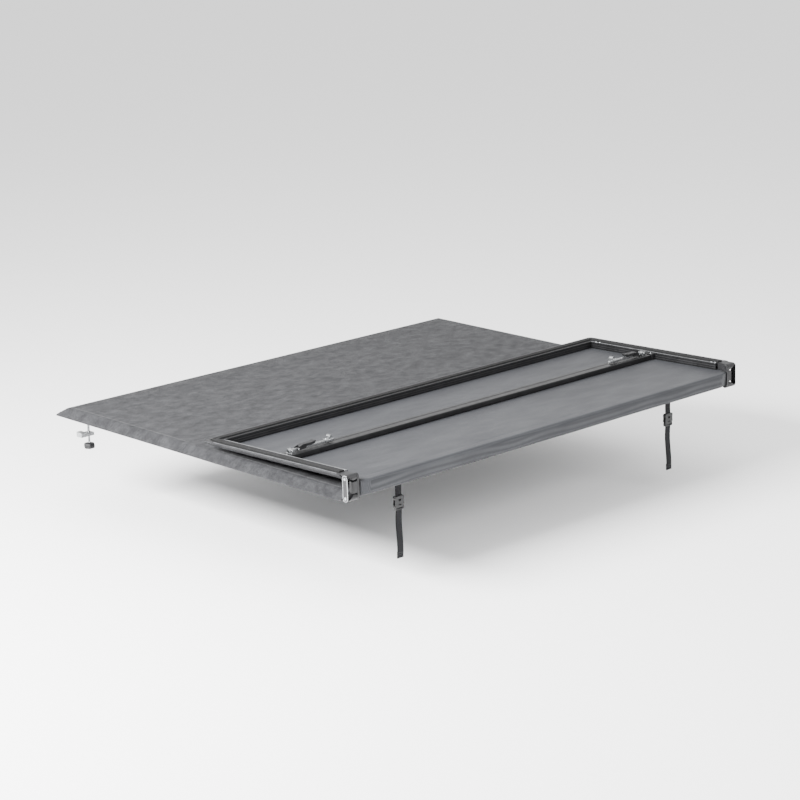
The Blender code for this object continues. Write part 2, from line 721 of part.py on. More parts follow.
def build_cab_clamps(root):
    """Screw clamps under the cab end: a screw with a hand knob, and a jaw that travels along it."""
    head_low = TAB_LOW + TAB_THICK + GAP
    knob_top = head_low - SCREW_LENGTH
    for word, side in SIDES.items():
        centre = (side * CLAMP_X, CLAMP_Y)
        axis = axis_empty(f"cab_clamp_axis_{word}", (*centre, 0), root)
        screw = [
            (SCREW_HEAD - 0.0008, head_low + 0.0052),
            (SCREW_HEAD, head_low + 0.0044),
            (SCREW_HEAD, head_low),
            (SCREW_RADIUS, head_low),
            (SCREW_RADIUS, knob_top),
            (KNOB_RADIUS - 0.0040, knob_top - 0.0010),
            (KNOB_RADIUS, knob_top - 0.0050),
            (KNOB_RADIUS, knob_top - KNOB_HEIGHT + 0.0040),
            (KNOB_RADIUS - 0.0030, knob_top - KNOB_HEIGHT),
        ]
        part(f"cab_screw_{word}", revolve(screw, centre), "moulding", axis, axis["flat_place"])
        low = CLAMP_JAW_TOP - CLAMP_JAW_DEPTH
        plate_top = CLAMP_JAW_TOP - CLAMP_LIP
        reach = side * (RAIL_INNER + CLAMP_JAW_DEPTH)
        back = side * (CLAMP_X - TAB_HALF_WIDTH)
        outline = [
            (back, CLAMP_Y - CLAMP_JAW_HALF),
            (reach, CLAMP_Y - CLAMP_JAW_HALF),
            (reach, CLAMP_Y + CLAMP_JAW_HALF),
            (back, CLAMP_Y + CLAMP_JAW_HALF),
        ]
        plate = extrusion(outline, low, plate_top, "z", [circle(centre, SCREW_BORE)])
        lip_near = side * (RAIL_INNER - 0.002)
        lip = box(
            (min(lip_near, reach), CLAMP_Y - CLAMP_JAW_HALF, plate_top - OVERLAP),
            (max(lip_near, reach), CLAMP_Y + CLAMP_JAW_HALF, CLAMP_JAW_TOP),
        )
        part(f"cab_jaw_{word}", union(plate, lip), "zinc", axis, axis["flat_place"])


# ---------------------------------------------------------------- straps

def build_straps(middle):
    """Webbing that hangs from the middle panel's rear bow, with a side-release buckle and its tail."""
    y = PIVOT_3 + MIDDLE_BOW_INSET
    loop_low = STRAP_Z - LOOP_DROP
    web_low = loop_low - WEB_LENGTH
    socket_low = web_low - SOCKET_LENGTH
    plug_low = socket_low - PLUG_LENGTH
    half = BUCKLE_HALF_WIDTH
    deep = BUCKLE_HALF_DEPTH
    for word, side in SIDES.items():
        x = side * STRAP_X
        place = (x, y, STRAP_Z)
        axis = axis_empty(f"strap_axis_{word}", place, middle)
        web = box((x - WEB_HALF_WIDTH, y - WEB_HALF_THICK, web_low + GAP),
                  (x + WEB_HALF_WIDTH, y + WEB_HALF_THICK, loop_low))
        tab = box((x - WEB_HALF_WIDTH, y - TAB_HALF, STRAP_Z - 2 * LOOP_DROP),
                  (x + WEB_HALF_WIDTH, y + TAB_HALF, RAIL_TOP - BOW_DEPTH - 0.0012))
        part(f"strap_web_{word}", union(web, tab), "webbing", axis, place)
        shell = box((x - half, y - deep, socket_low), (x + half, y + deep, web_low))
        pocket = box((x - half + BUCKLE_CHEEK, y - deep + BUCKLE_WALL, socket_low - OVERLAP),
                     (x + half - BUCKLE_CHEEK, y + deep - BUCKLE_WALL, web_low - 0.0045))
        part(f"buckle_socket_{word}", difference(shell, pocket), "moulding", axis, place)
        base = box((x - half + 0.001, y - deep + 0.0008, plug_low),
                   (x + half - 0.001, y + deep - 0.0008, socket_low - GAP))
        root_low = socket_low - 2 * OVERLAP
        tongue = box((x - TONGUE_HALF, y - PRONG_HALF_DEPTH, root_low),
                     (x + TONGUE_HALF, y + PRONG_HALF_DEPTH, web_low - 0.0070))
        prongs = base
        for face in (-1, 1):
            centre = x + face * PRONG_AT
            prong = box((centre - PRONG_HALF, y - PRONG_HALF_DEPTH, root_low),
                        (centre + PRONG_HALF, y + PRONG_HALF_DEPTH, web_low - 0.0090))
            prongs = union(prongs, prong)
        part(f"buckle_plug_{word}", union(prongs, tongue), "moulding", axis, place)
        tail = box((x - WEB_HALF_WIDTH, y - WEB_HALF_THICK, plug_low - TAIL_LENGTH),
                   (x + WEB_HALF_WIDTH, y + WEB_HALF_THICK, plug_low - GAP))
        part(f"strap_tail_{word}", tail, "webbing", axis, place)


# ---------------------------------------------------------------- assembly

def fold_points():
    """Centre line of the folded cloth at the rear fold, in (Y, Z), from the middle panel to the rear."""
    low = TOP - CLOTH / 2
    start = PIVOT_3 + CLOTH_REACH - GAP
    length = REAR_LINK + 2 * CLOTH_REACH
    radius = (REAR_GAP + CLOTH) / 2
    straight = (length - math.pi * radius) / 2
    turn = start - straight
    bend = arc((turn, low + radius), radius, 270, 90, 10)
    return [(start, low), *bend, (start, low + 2 * radius)]


def build():
    for old in list(bpy.data.objects):
        bpy.data.objects.remove(old)
    root = axis_empty("cover", (0, 0, 0))
    front_link_axis = axis_empty("front_link_axis", (0, PIVOT_1, PIVOT_HEIGHT), root)
    middle = axis_empty("middle_axis", (0, PIVOT_2, PIVOT_HEIGHT), front_link_axis)
    rear_link_axis = axis_empty("rear_link_axis", (0, PIVOT_3, PIVOT_HEIGHT), middle, -REAR_FOLD_HALF)
    rear = axis_empty("rear_axis", (0, PIVOT_4, PIVOT_HEIGHT), rear_link_axis, -REAR_FOLD_HALF)
    build_front(root)
    build_middle(middle)
    build_rear(rear)
    for word, side in SIDES.items():
        first = (0, PIVOT_1, PIVOT_HEIGHT)
        part(f"front_link_{word}", link(side, PIVOT_1, PIVOT_2), "moulding", front_link_axis, first)
        second = (0, PIVOT_3, PIVOT_HEIGHT)
        part(f"rear_link_{word}", link(side, PIVOT_3, PIVOT_4), "moulding", rear_link_axis, second)
    open_strip = cloth_panel(PIVOT_1 + CLOTH_REACH - GAP, PIVOT_2 - CLOTH_REACH + GAP, False, False)
    part("front_fold_cloth", open_strip, "cloth", front_link_axis, (0, PIVOT_1, PIVOT_HEIGHT))
    folded_strip("rear_fold_cloth", fold_points(), RAIL_INNER - 0.004, rear_link_axis)
    build_rear_clamps(rear)
    build_cab_clamps(root)
    build_straps(middle)


build()
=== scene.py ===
import json
import math

import bmesh
import bpy
from mathutils import Matrix, Vector, noise

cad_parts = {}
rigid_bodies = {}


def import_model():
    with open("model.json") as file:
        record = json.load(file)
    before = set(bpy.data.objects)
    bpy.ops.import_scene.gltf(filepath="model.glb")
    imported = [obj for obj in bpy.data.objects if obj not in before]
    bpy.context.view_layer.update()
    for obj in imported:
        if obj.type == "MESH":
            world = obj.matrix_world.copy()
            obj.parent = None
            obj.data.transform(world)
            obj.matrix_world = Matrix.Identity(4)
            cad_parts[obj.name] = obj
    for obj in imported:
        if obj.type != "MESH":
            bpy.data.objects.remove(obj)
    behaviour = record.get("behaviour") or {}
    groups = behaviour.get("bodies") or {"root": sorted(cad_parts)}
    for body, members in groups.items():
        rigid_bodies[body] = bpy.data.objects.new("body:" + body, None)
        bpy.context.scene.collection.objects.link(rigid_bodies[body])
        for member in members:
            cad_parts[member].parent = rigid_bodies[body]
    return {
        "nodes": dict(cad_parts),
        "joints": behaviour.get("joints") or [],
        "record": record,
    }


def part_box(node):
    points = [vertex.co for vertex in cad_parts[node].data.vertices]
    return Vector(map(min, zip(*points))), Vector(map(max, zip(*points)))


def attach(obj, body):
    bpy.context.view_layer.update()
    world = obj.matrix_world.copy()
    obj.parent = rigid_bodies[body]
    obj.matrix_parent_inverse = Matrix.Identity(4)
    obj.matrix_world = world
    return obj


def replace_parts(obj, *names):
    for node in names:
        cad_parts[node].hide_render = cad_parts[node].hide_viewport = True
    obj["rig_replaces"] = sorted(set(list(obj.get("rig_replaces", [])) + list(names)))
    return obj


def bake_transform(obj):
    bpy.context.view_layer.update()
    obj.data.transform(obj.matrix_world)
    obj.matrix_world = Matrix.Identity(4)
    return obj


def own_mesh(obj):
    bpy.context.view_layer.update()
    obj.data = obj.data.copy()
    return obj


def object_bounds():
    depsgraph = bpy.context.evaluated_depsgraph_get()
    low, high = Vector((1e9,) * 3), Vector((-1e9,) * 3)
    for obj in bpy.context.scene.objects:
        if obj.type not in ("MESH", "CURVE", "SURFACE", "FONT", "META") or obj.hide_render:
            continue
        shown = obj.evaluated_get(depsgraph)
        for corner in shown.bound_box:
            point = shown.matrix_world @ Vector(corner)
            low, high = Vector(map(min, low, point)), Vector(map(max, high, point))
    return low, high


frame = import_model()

CAD_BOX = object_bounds()
BODIES = frame["record"]["behaviour"]["bodies"]
BODY_OF = {node: body for body, nodes in BODIES.items() for node in nodes}
JOINTS = {joint["name"]: joint for joint in frame["joints"]}

# ---------------------------------------------------------------- places read from the frame

PIVOT_1 = Vector(JOINTS["front_link_hinge"]["pos_m"])
PIVOT_2 = Vector(JOINTS["front_fold"]["pos_m"])
PIVOT_3 = Vector(JOINTS["rear_link_hinge"]["pos_m"])
PIVOT_4 = Vector(JOINTS["rear_fold"]["pos_m"])
FOLD_HALF = math.radians(JOINTS["rear_fold"]["range_deg"][1])
PIVOT_4_FLAT = Vector((0, PIVOT_3.y - (PIVOT_4 - PIVOT_3).length, PIVOT_3.z))

# The rear panel is modelled as if the cover lay flat, and this turns it over to where it rests.
TURNED_OVER = (
    Matrix.Translation(PIVOT_4)
    @ Matrix.Rotation(-2 * FOLD_HALF, 4, "X")
    @ Matrix.Translation(-PIVOT_4_FLAT)
)

REAR_LENGTH = 0.6255   # from the rear fold's second pivot to the tail edge
FRONT_LOW, FRONT_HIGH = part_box("front_cloth")
MIDDLE_LOW, MIDDLE_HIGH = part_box("middle_cloth")
BOW_LOW, BOW_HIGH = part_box("front_bow")
HALF_WIDTH = FRONT_HIGH.x
TOP = FRONT_HIGH.z
HEM = FRONT_LOW.z
CAB_EDGE = FRONT_HIGH.y
FRONT_FAR = FRONT_LOW.y
MIDDLE_NEAR = MIDDLE_HIGH.y
MIDDLE_FAR = MIDDLE_LOW.y
REAR_NEAR = PIVOT_4_FLAT.y - (MIDDLE_FAR - PIVOT_3.y)
TAIL_EDGE = PIVOT_4_FLAT.y - REAR_LENGTH
RAIL_INNER = BOW_HIGH.x
BOW_HALF = (BOW_HIGH.y - BOW_LOW.y) / 2

BAND = 0.0325          # width of the sloped band round the cover, seen from above
CREASE_ROUND = 0.0050  # half the width over which the cloth turns from the top into the band
CLOTH = 0.0010         # real thickness of the coated cloth
CORNER = 0.014         # rounding of the cloth's corners, seen from above
END_ROUND = 0.019      # rounding of the side bands where they end at the rear fold
GRID = 0.012           # spacing of the cloth's grid on its flat part


# ---------------------------------------------------------------- materials

def new_material(name):
    made = bpy.data.materials.new(name)
    made.use_nodes = True
    tree = made.node_tree
    return made, tree, tree.nodes["Principled BSDF"]


def add(tree, kind, **values):
    node = tree.nodes.new(kind)
    for key, value in values.items():
        if key in node.inputs:
            node.inputs[key].default_value = value
        else:
            setattr(node, key.lower().replace(" ", "_"), value)
    return node


def object_points(tree, stretch=(1, 1, 1)):
    """The piece's own coordinates, in metres, stretched along each axis."""
    place = add(tree, "ShaderNodeTexCoord")
    mapping = add(tree, "ShaderNodeMapping")
    mapping.inputs["Scale"].default_value = stretch
    tree.links.new(place.outputs["Object"], mapping.inputs["Vector"])
    return mapping.outputs["Vector"]


def noise_value(tree, points, scale, detail=2.0, roughness=0.5):
    node = add(tree, "ShaderNodeTexNoise", Scale=scale, Detail=detail, Roughness=roughness)
    tree.links.new(points, node.inputs["Vector"])
    return node.outputs["Fac"]


def remap(tree, value, low, high, to_low, to_high):
    node = add(tree, "ShaderNodeMapRange")
    for key, number in zip(("From Min", "From Max", "To Min", "To Max"), (low, high, to_low, to_high)):
        node.inputs[key].default_value = number
    tree.links.new(value, node.inputs["Value"])
    return node.outputs["Result"]


def maths(tree, operation, first, second):
    node = add(tree, "ShaderNodeMath", operation=operation)
    for socket, value in zip(node.inputs, (first, second)):
        if isinstance(value, (int, float)):
            socket.default_value = value
        else:
            tree.links.new(value, socket)
    return node.outputs["Value"]


def mix_colour(tree, factor, first, second):
    node = add(tree, "ShaderNodeMix", data_type="RGBA")
    tree.links.new(factor, node.inputs["Factor"])
    for index, value in ((6, first), (7, second)):
        if isinstance(value, tuple):
            node.inputs[index].default_value = (*value, 1)
        else:
            tree.links.new(value, node.inputs[index])
    return node.outputs[2]


def bump(tree, height, strength, distance, under=None):
    node = add(tree, "ShaderNodeBump")
    node.inputs["Strength"].default_value = strength
    node.inputs["Distance"].default_value = distance
    tree.links.new(height, node.inputs["Height"])
    if under:
        tree.links.new(under, node.inputs["Normal"])
    return node.outputs["Normal"]


def finish(made, tree, shader, colour, roughness=None, normal=None, **values):
    """Connects a material's results, and sets the shader's plain values."""
    for key, result in (("Base Color", colour), ("Roughness", roughness), ("Normal", normal)):
        if result:
            tree.links.new(result, shader.inputs[key])
    for key, value in values.items():
        shader.inputs[key.replace("_", " ")].default_value = value
    return made


def waves(tree, points, first, second):
    """Two crossed waves multiplied, as in cloth. Each is its scale, distortion and direction."""
    pair = []
    for scale, distortion, direction in (first, second):
        wave = add(tree, "ShaderNodeTexWave", Scale=scale, Distortion=distortion)
        wave.bands_direction = direction
        tree.links.new(points, wave.inputs["Vector"])
        pair.append(wave)
    return pair, maths(tree, "MULTIPLY", pair[0].outputs["Fac"], pair[1].outputs["Fac"])


def cloth_material():
    """Outer face: leather-grained vinyl, mottled, with a soft satin sheen and painted shade in the valleys
    of its grain.
    """
    made, tree, shader = new_material("cloth_grain")
    points = object_points(tree)
    drawn = object_points(tree, (0.75, 1.0, 1.0))
    blotch = noise_value(tree, drawn, 30.0, 6.0, 0.68)
    fine = noise_value(tree, points, 150.0, 4.0, 0.68)
    cells = add(tree, "ShaderNodeTexVoronoi", Scale=520.0)
    cells.feature = "DISTANCE_TO_EDGE"
    tree.links.new(points, cells.inputs["Vector"])
    pebble = remap(tree, cells.outputs["Distance"], 0.0, 0.28, 0.0, 1.0)
    tone = maths(tree, "ADD", maths(tree, "MULTIPLY", blotch, 0.70), maths(tree, "MULTIPLY", fine, 0.30))
    spread = remap(tree, tone, 0.38, 0.62, 0.0, 1.0)
    colour = mix_colour(tree, spread, (0.019, 0.019, 0.021), (0.066, 0.067, 0.071))
    # Painted shade: the valleys between the grain's pebbles are darkened in the colour.
    colour_with_painted_grain_shade = mix_colour(tree, pebble, (0.012, 0.012, 0.013), colour)
    lumps = bump(tree, tone, 0.55, 0.0022)
    return finish(
        made, tree, shader, colour_with_painted_grain_shade,
        remap(tree, tone, 0.3, 0.7, 0.80, 0.62),
        bump(tree, pebble, 0.55, 0.0003, lumps),
        Specular_IOR_Level=0.12, Sheen_Weight=0.02, Sheen_Roughness=0.5,
    )


def backing_material():
    """Inner face: the coated cloth's tight knitted backing, smooth and a little shiny."""
    made, tree, shader = new_material("cloth_backing")
    points = object_points(tree)
    knit = waves(tree, points, (210.0, 0.4, "X"), (210.0, 0.4, "Y"))[1]
    cloud = noise_value(tree, object_points(tree, (0.5, 1.4, 1.0)), 12.0, 4.0, 0.6)
    spread = remap(tree, cloud, 0.35, 0.65, 0.0, 1.0)
    colour = mix_colour(tree, spread, (0.038, 0.039, 0.043), (0.055, 0.057, 0.062))
    shaded = mix_colour(tree, remap(tree, knit, 0.0, 0.6, 0.0, 1.0), (0.022, 0.023, 0.026), colour)
    return finish(
        made, tree, shader, shaded,
        remap(tree, cloud, 0.3, 0.7, 0.52, 0.42),
        bump(tree, knit, 0.35, 0.00025),
        Specular_IOR_Level=0.16, Sheen_Weight=0.02, Sheen_Roughness=0.4,
    )


def rail_material():
    """Black anodised extrusion: fine die lines along it and a film of dust."""
    made, tree, shader = new_material("anodised_black")
    points = object_points(tree)
    lines_x = noise_value(tree, object_points(tree, (0.6, 60.0, 60.0)), 9.0, 3.0)
    lines_y = noise_value(tree, object_points(tree, (60.0, 0.6, 60.0)), 9.0, 3.0)
    drawn = maths(tree, "MULTIPLY", lines_x, lines_y)
    cloud = noise_value(tree, points, 26.0, 5.0, 0.65)
    dust = remap(tree, cloud, 0.40, 0.70, 0.0, 1.0)
    return finish(
        made, tree, shader,
        mix_colour(tree, dust, (0.004, 0.004, 0.0045), (0.009, 0.009, 0.010)),
        remap(tree, drawn, 0.12, 0.40, 0.30, 0.52),
        bump(tree, drawn, 0.22, 0.0002),
        Specular_IOR_Level=0.28,
    )


def lip_highlight_material():
    """Lighter aluminium along the lips of the side rails, streaked lengthwise: a painted highlight for the
    light their edges catch.
    """
    # Painted highlight: this lighter metal stands for light caught on the black rails' lips.
    made, tree, shader = new_material("painted_highlight_aluminium")
    streak = noise_value(tree, object_points(tree, (60.0, 2.0, 60.0)), 9.0, 4.0, 0.6)
    cloud = noise_value(tree, object_points(tree), 40.0, 4.0, 0.6)
    tone = maths(tree, "MULTIPLY", streak, cloud)
    bright = remap(tree, tone, 0.12, 0.38, 0.0, 1.0)
    return finish(
        made, tree, shader,
        mix_colour(tree, bright, (0.17, 0.17, 0.18), (0.46, 0.47, 0.49)),
        remap(tree, streak, 0.3, 0.7, 0.24, 0.42),
        bump(tree, streak, 0.15, 0.0001),
        Metallic=1.0,
    )


def rubber_material():
    """Matt EPDM seal with a chalky bloom and fine extrusion lines."""
    made, tree, shader = new_material("seal_rubber")
    points = object_points(tree)
    cloud = noise_value(tree, points, 60.0, 5.0, 0.7)
    speck = noise_value(tree, points, 900.0, 2.0, 0.6)
    bloom = remap(tree, cloud, 0.42, 0.70, 0.0, 1.0)
    return finish(
        made, tree, shader,
        mix_colour(tree, bloom, (0.005, 0.005, 0.005), (0.013, 0.013, 0.014)),
        remap(tree, cloud, 0.3, 0.7, 0.72, 0.92),
        bump(tree, speck, 0.35, 0.0003),
        Specular_IOR_Level=0.22,
    )


def moulding_material():
    """Glass-filled nylon with a spark-eroded grain and a film of dust."""
    made, tree, shader = new_material("moulded_black")
    points = object_points(tree)
    grain = noise_value(tree, points, 1400.0, 3.0, 0.7)
    cloud = noise_value(tree, points, 70.0, 4.0, 0.6)
    dust = remap(tree, cloud, 0.35, 0.7, 0.0, 1.0)
    return finish(
        made, tree, shader,
        mix_colour(tree, dust, (0.005, 0.005, 0.006), (0.012, 0.012, 0.013)),
        remap(tree, grain, 0.3, 0.7, 0.38, 0.56),
        bump(tree, grain, 0.30, 0.0003),
        Specular_IOR_Level=0.40,
    )


def zinc_material():
    """Zinc-plated steel: faint spangle, brushed streaks and duller patches."""
    made, tree, shader = new_material("zinc_plate")
    points = object_points(tree)
    spangle = add(tree, "ShaderNodeTexVoronoi", Scale=260.0)
    tree.links.new(points, spangle.inputs["Vector"])
    streak = noise_value(tree, object_points(tree, (6.0, 90.0, 90.0)), 12.0, 3.0)
    cloud = noise_value(tree, points, 80.0, 4.0, 0.65)
    flakes = maths(tree, "MULTIPLY", spangle.outputs["Distance"], 0.5)
    tone = maths(tree, "ADD", flakes, maths(tree, "MULTIPLY", cloud, 0.6))
    shine = remap(tree, tone, 0.25, 0.75, 0.0, 1.0)
    return finish(
        made, tree, shader,
        mix_colour(tree, shine, (0.24, 0.245, 0.25), (0.46, 0.47, 0.48)),
        remap(tree, streak, 0.3, 0.7, 0.22, 0.42),
        bump(tree, streak, 0.2, 0.0002),
        Metallic=1.0,
    )


def webbing_material():
    """Polyester webbing: ribs across it and a finer twist along it, with painted shade in the valleys of
    the weave.
    """
    made, tree, shader = new_material("woven_webbing")
    points = object_points(tree)
    (ribs, _), weave = waves(tree, points, (170.0, 0.6, "Z"), (300.0, 0.3, "X"))
    ribs.inputs["Detail Scale"].default_value = 3.0
    fuzz = noise_value(tree, points, 700.0, 3.0, 0.7)
    # Painted shade: the colour darkens in the valleys between the ribs and the twist.
    painted_weave_shade = remap(tree, weave, 0.0, 0.7, 0.0, 1.0)
    return finish(
        made, tree, shader,
        mix_colour(tree, painted_weave_shade, (0.004, 0.004, 0.005), (0.020, 0.020, 0.022)),
        remap(tree, fuzz, 0.3, 0.7, 0.72, 0.92),
        bump(tree, weave, 0.8, 0.0005),
        Specular_IOR_Level=0.15, Sheen_Weight=0.03,
    )


def thread_material():
    """Bonded polyester sewing thread, a little lighter than the cloth, with painted shade in the grooves of
    its twist.
    """
    made, tree, shader = new_material("sewing_thread")
    twist = add(tree, "ShaderNodeTexWave", Scale=900.0, Distortion=0.5)
    twist.bands_direction = "DIAGONAL"
    tree.links.new(object_points(tree), twist.inputs["Vector"])
    return finish(
        made, tree, shader,
        # Painted shade: the colour darkens in the grooves of the twist and lightens on its ridges.
        mix_colour(tree, twist.outputs["Fac"], (0.030, 0.030, 0.032), (0.085, 0.086, 0.090)),
        normal=bump(tree, twist.outputs["Fac"], 0.5, 0.0002),
        Roughness=0.55, Sheen_Weight=0.2,
    )


LOOKS = {
    "cloth": cloth_material(),
    "black_rail": rail_material(),
    "rubber": rubber_material(),
    "moulding": moulding_material(),
    "zinc": zinc_material(),
    "webbing": webbing_material(),
}
LIP_HIGHLIGHT_METAL = lip_highlight_material()
BACKING = backing_material()
THREAD = thread_material()
SLOT_OF = {part["node"]: part["material_slot"] for part in frame["record"]["subparts"]}


# ---------------------------------------------------------------- helpers

def new_piece(name, mesh, look, body, matrix=None, angle=35):
    """Turns a bmesh into a named piece on a body, or on none when no body is given."""
    if matrix:
        bmesh.ops.transform(mesh, matrix=matrix, verts=mesh.verts)
    data = bpy.data.meshes.new(name)
    mesh.to_mesh(data)
    mesh.free()
    for material in look if isinstance(look, (list, tuple)) else (look,):
        data.materials.append(material)
    data.shade_smooth()
    data.set_sharp_from_angle(angle=math.radians(angle))
    made = bpy.data.objects.new(name, data)
    bpy.context.scene.collection.objects.link(made)
    if body:
        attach(made, body)
    return made


def bevelled(node, width=0.0006, segments=2):
    """A CAD node's solid with its edges rounded, standing for the node."""
    mesh = bmesh.new()
    mesh.from_mesh(frame["nodes"][node].data)
    bmesh.ops.remove_doubles(mesh, verts=mesh.verts, dist=0.00001)
    bmesh.ops.dissolve_limit(mesh, angle_limit=math.radians(1.0), verts=mesh.verts, edges=mesh.edges)
    slot = SLOT_OF[node]
    made = new_piece(f"{node}_finish", mesh, LOOKS[slot], BODY_OF[node])
    rounding = made.modifiers.new("rounding", "BEVEL")
    rounding.width = width
    rounding.segments = segments
    rounding.limit_method = "ANGLE"
    rounding.angle_limit = math.radians(30)
    rounding.harden_normals = True
    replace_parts(made, node)
    return made


# ---------------------------------------------------------------- cloth

def stations(low, high, low_edge, high_edge):
    """Places of the cloth's grid lines between two edges, closer together over a band or a round end."""
    band_steps = [0.0, 0.0015, 0.0055, 0.0130, 0.0205, 0.0260]
    crease_steps = [BAND - CREASE_ROUND + 2 * CREASE_ROUND * i / 6 for i in range(7)]
    steps = {
        "band": band_steps + crease_steps + [BAND + 0.010],
        "round": [END_ROUND * i / 8 for i in range(9)] + [END_ROUND + 0.006],
        "plain": [0.0, 0.004],
    }
    first = [low + step for step in steps[low_edge]]
    last = [high - step for step in reversed(steps[high_edge])]
    start, stop = first[-1], last[0]
    count = max(2, round((stop - start) / GRID))
    inner = [start + (stop - start) * i / count for i in range(1, count)]
    return first + inner + last


def weave_rows(mesh, rows):
    """Faces between neighbouring rows of vertices."""
    for first, second in zip(rows, rows[1:]):
        for i in range(1, len(first)):
            mesh.faces.new((first[i - 1], first[i], second[i], second[i - 1]))


def band_height(depth):
    """Height of the cloth at a distance inside its hem: sloped band, rounded crease, then flat top."""
    slope = (TOP - HEM) / BAND
    if depth <= BAND - CREASE_ROUND:
        return HEM + depth * slope
    if depth >= BAND + CREASE_ROUND:
        return TOP
    t = (depth - BAND + CREASE_ROUND) / (2 * CREASE_ROUND)
    return HEM + (BAND - CREASE_ROUND) * slope + slope * 2 * CREASE_ROUND * (t - t * t / 2)


def bow_span(node, matrix=None):
    low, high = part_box(node)
    if matrix:
        low, high = sorted((matrix @ low, matrix @ high), key=lambda p: p.y)
    return (low.y + high.y) / 2


REAR_BOW = bow_span("rear_bow", TURNED_OVER.inverted())
BOWS = [bow_span("front_bow"), bow_span("middle_front_bow"), bow_span("middle_rear_bow")]
BAYS = [
    (CAB_EDGE - 0.05, BOWS[0] + BOW_HALF, 0.0020),
    (BOWS[0] - BOW_HALF, BOWS[1] + BOW_HALF, 0.0026),
    (BOWS[1] - BOW_HALF, BOWS[2] + BOW_HALF, 0.0032),
    (REAR_NEAR, REAR_BOW + BOW_HALF, -0.0016),
    (REAR_BOW - BOW_HALF, TAIL_EDGE + 0.05, -0.0016),
]


def smooth(t):
    t = min(max(t, 0.0), 1.0)
    return t * t * (3 - 2 * t)


def sag(x, y):
    """How far the stretched cloth lies below its rails between two supports, with faint slack in it."""
    inside = smooth((RAIL_INNER - abs(x)) / 0.16)
    for near, far, depth in BAYS:
        if far < y < near:
            t = (near - y) / (near - far)
            slack = noise.noise(Vector((x * 3.2, y * 11.0, 0.7))) * 0.5 + 0.5
            ripple = noise.noise(Vector((x * 14.0, y * 24.0, 3.1))) * 0.00022
            return inside * math.sin(math.pi * t) ** 2 * (depth * (0.75 + 0.5 * slack) + ripple)
    return 0.0


def rounded(side, end, radius):
    """Pulls a place near a square corner onto a round one. Both distances are inside their own edges."""
    if side >= radius or end >= radius:
        return side, end
    a, b = radius - side, radius - end
    pull = max(a, b) / math.hypot(a, b) if a or b else 1.0
    return radius - a * pull, radius - b * pull


def cloth_point(x, y, near, far, near_edge, far_edge):
    """A point of the cloth's outer face from its place in the plan. An edge is "band" where the cover ends,
    "round" where the side bands end in a round corner at a fold, or "plain" where the cloth goes on."""
    side = HALF_WIDTH - abs(x)
    to_near, to_far = near - y, y - far
    drop = sag(x, y)
    end, kind = (to_near, near_edge) if to_near < to_far else (to_far, far_edge)
    if kind == "plain":
        return Vector((x, y, band_height(side) - drop))
    depth = min(side, end) if kind == "band" else side
    new_side, new_end = rounded(side, end, CORNER if kind == "band" else END_ROUND)
    if kind == "round":
        depth = new_side
    shift = new_end - end
    y = y - shift if to_near < to_far else y + shift
    return Vector((math.copysign(HALF_WIDTH - new_side, x), y, band_height(depth) - drop))


HEM_TURN = [(-0.0006, -0.0012), (0.0012, -0.0021), (0.0045, -0.0019), (0.0100, -0.0016)]


def cloth_sheet(near, far, near_edge="plain", far_edge="plain"):
    """A panel's cloth as an open surface, its hem turned under along every banded side."""
    mesh = bmesh.new()
    xs = stations(-HALF_WIDTH, HALF_WIDTH, "band", "band")
    ys = stations(far, near, far_edge, near_edge)
    grid = [
        [mesh.verts.new(cloth_point(x, y, near, far, near_edge, far_edge)) for x in xs]
        for y in ys
    ]
    weave_rows(mesh, grid)
    left = [row[0] for row in grid]
    right = [row[-1] for row in grid]
    if near_edge == "band":
        turn_hem(mesh, left + grid[-1][1:-1] + right[::-1])
    elif far_edge == "band":
        turn_hem(mesh, right[::-1][:-1] + grid[0][::-1] + left[1:])
    else:
        turn_hem(mesh, left)
        turn_hem(mesh, right[::-1])
    return mesh


def turn_hem(mesh, edge):
    """Carries the cloth's edge down and back under the rail. The edge runs clockwise seen from above."""
    last = edge
    inward = []
    for i, here in enumerate(edge):
        along = edge[min(i + 1, len(edge) - 1)].co - edge[max(i - 1, 0)].co
        inward.append(Vector((along.y, -along.x, 0)).normalized())
    for reach, drop in HEM_TURN:
        row = [mesh.verts.new(v.co + n * reach + Vector((0, 0, drop))) for v, n in zip(edge, inward)]
        weave_rows(mesh, (last, row))
        last = row


def cloth_piece(name, mesh, body, matrix=None, grain_up=True):
    bmesh.ops.recalc_face_normals(mesh, faces=mesh.faces)
    top = max(mesh.faces, key=lambda f: f.calc_area())
    if (top.normal.z > 0) != grain_up:
        bmesh.ops.reverse_faces(mesh, faces=mesh.faces)
    made = new_piece(name, mesh, (LOOKS["cloth"], BACKING), None, matrix, 60)
    thick = made.modifiers.new("cloth", "SOLIDIFY")
    thick.thickness = CLOTH
    thick.offset = -1
    thick.material_offset = 1
    thick.material_offset_rim = 0
    if body:
        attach(made, body)
    return made


def apply_modifiers(piece):
    """Bakes a piece's modifiers into its mesh, so that the mesh is final."""
    ready = piece.evaluated_get(bpy.context.evaluated_depsgraph_get())
    data = bpy.data.meshes.new_from_object(ready)
    piece.modifiers.clear()
    piece.data = data
    return piece


front_skin = cloth_piece(
    "front_panel_cloth",
    cloth_sheet(CAB_EDGE, FRONT_FAR, near_edge="band"),
    "front_panel",
)
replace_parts(front_skin, "front_cloth")

middle_skin = cloth_piece(
    "middle_panel_cloth",
    cloth_sheet(MIDDLE_NEAR, MIDDLE_FAR, far_edge="round"),
    "middle_panel",
)
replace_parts(middle_skin, "middle_cloth")

rear_skin = cloth_piece(
    "rear_panel_cloth",
    cloth_sheet(REAR_NEAR, TAIL_EDGE, near_edge="round", far_edge="band"),
    "rear_panel",
    TURNED_OVER,
)
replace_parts(rear_skin, "rear_cloth")
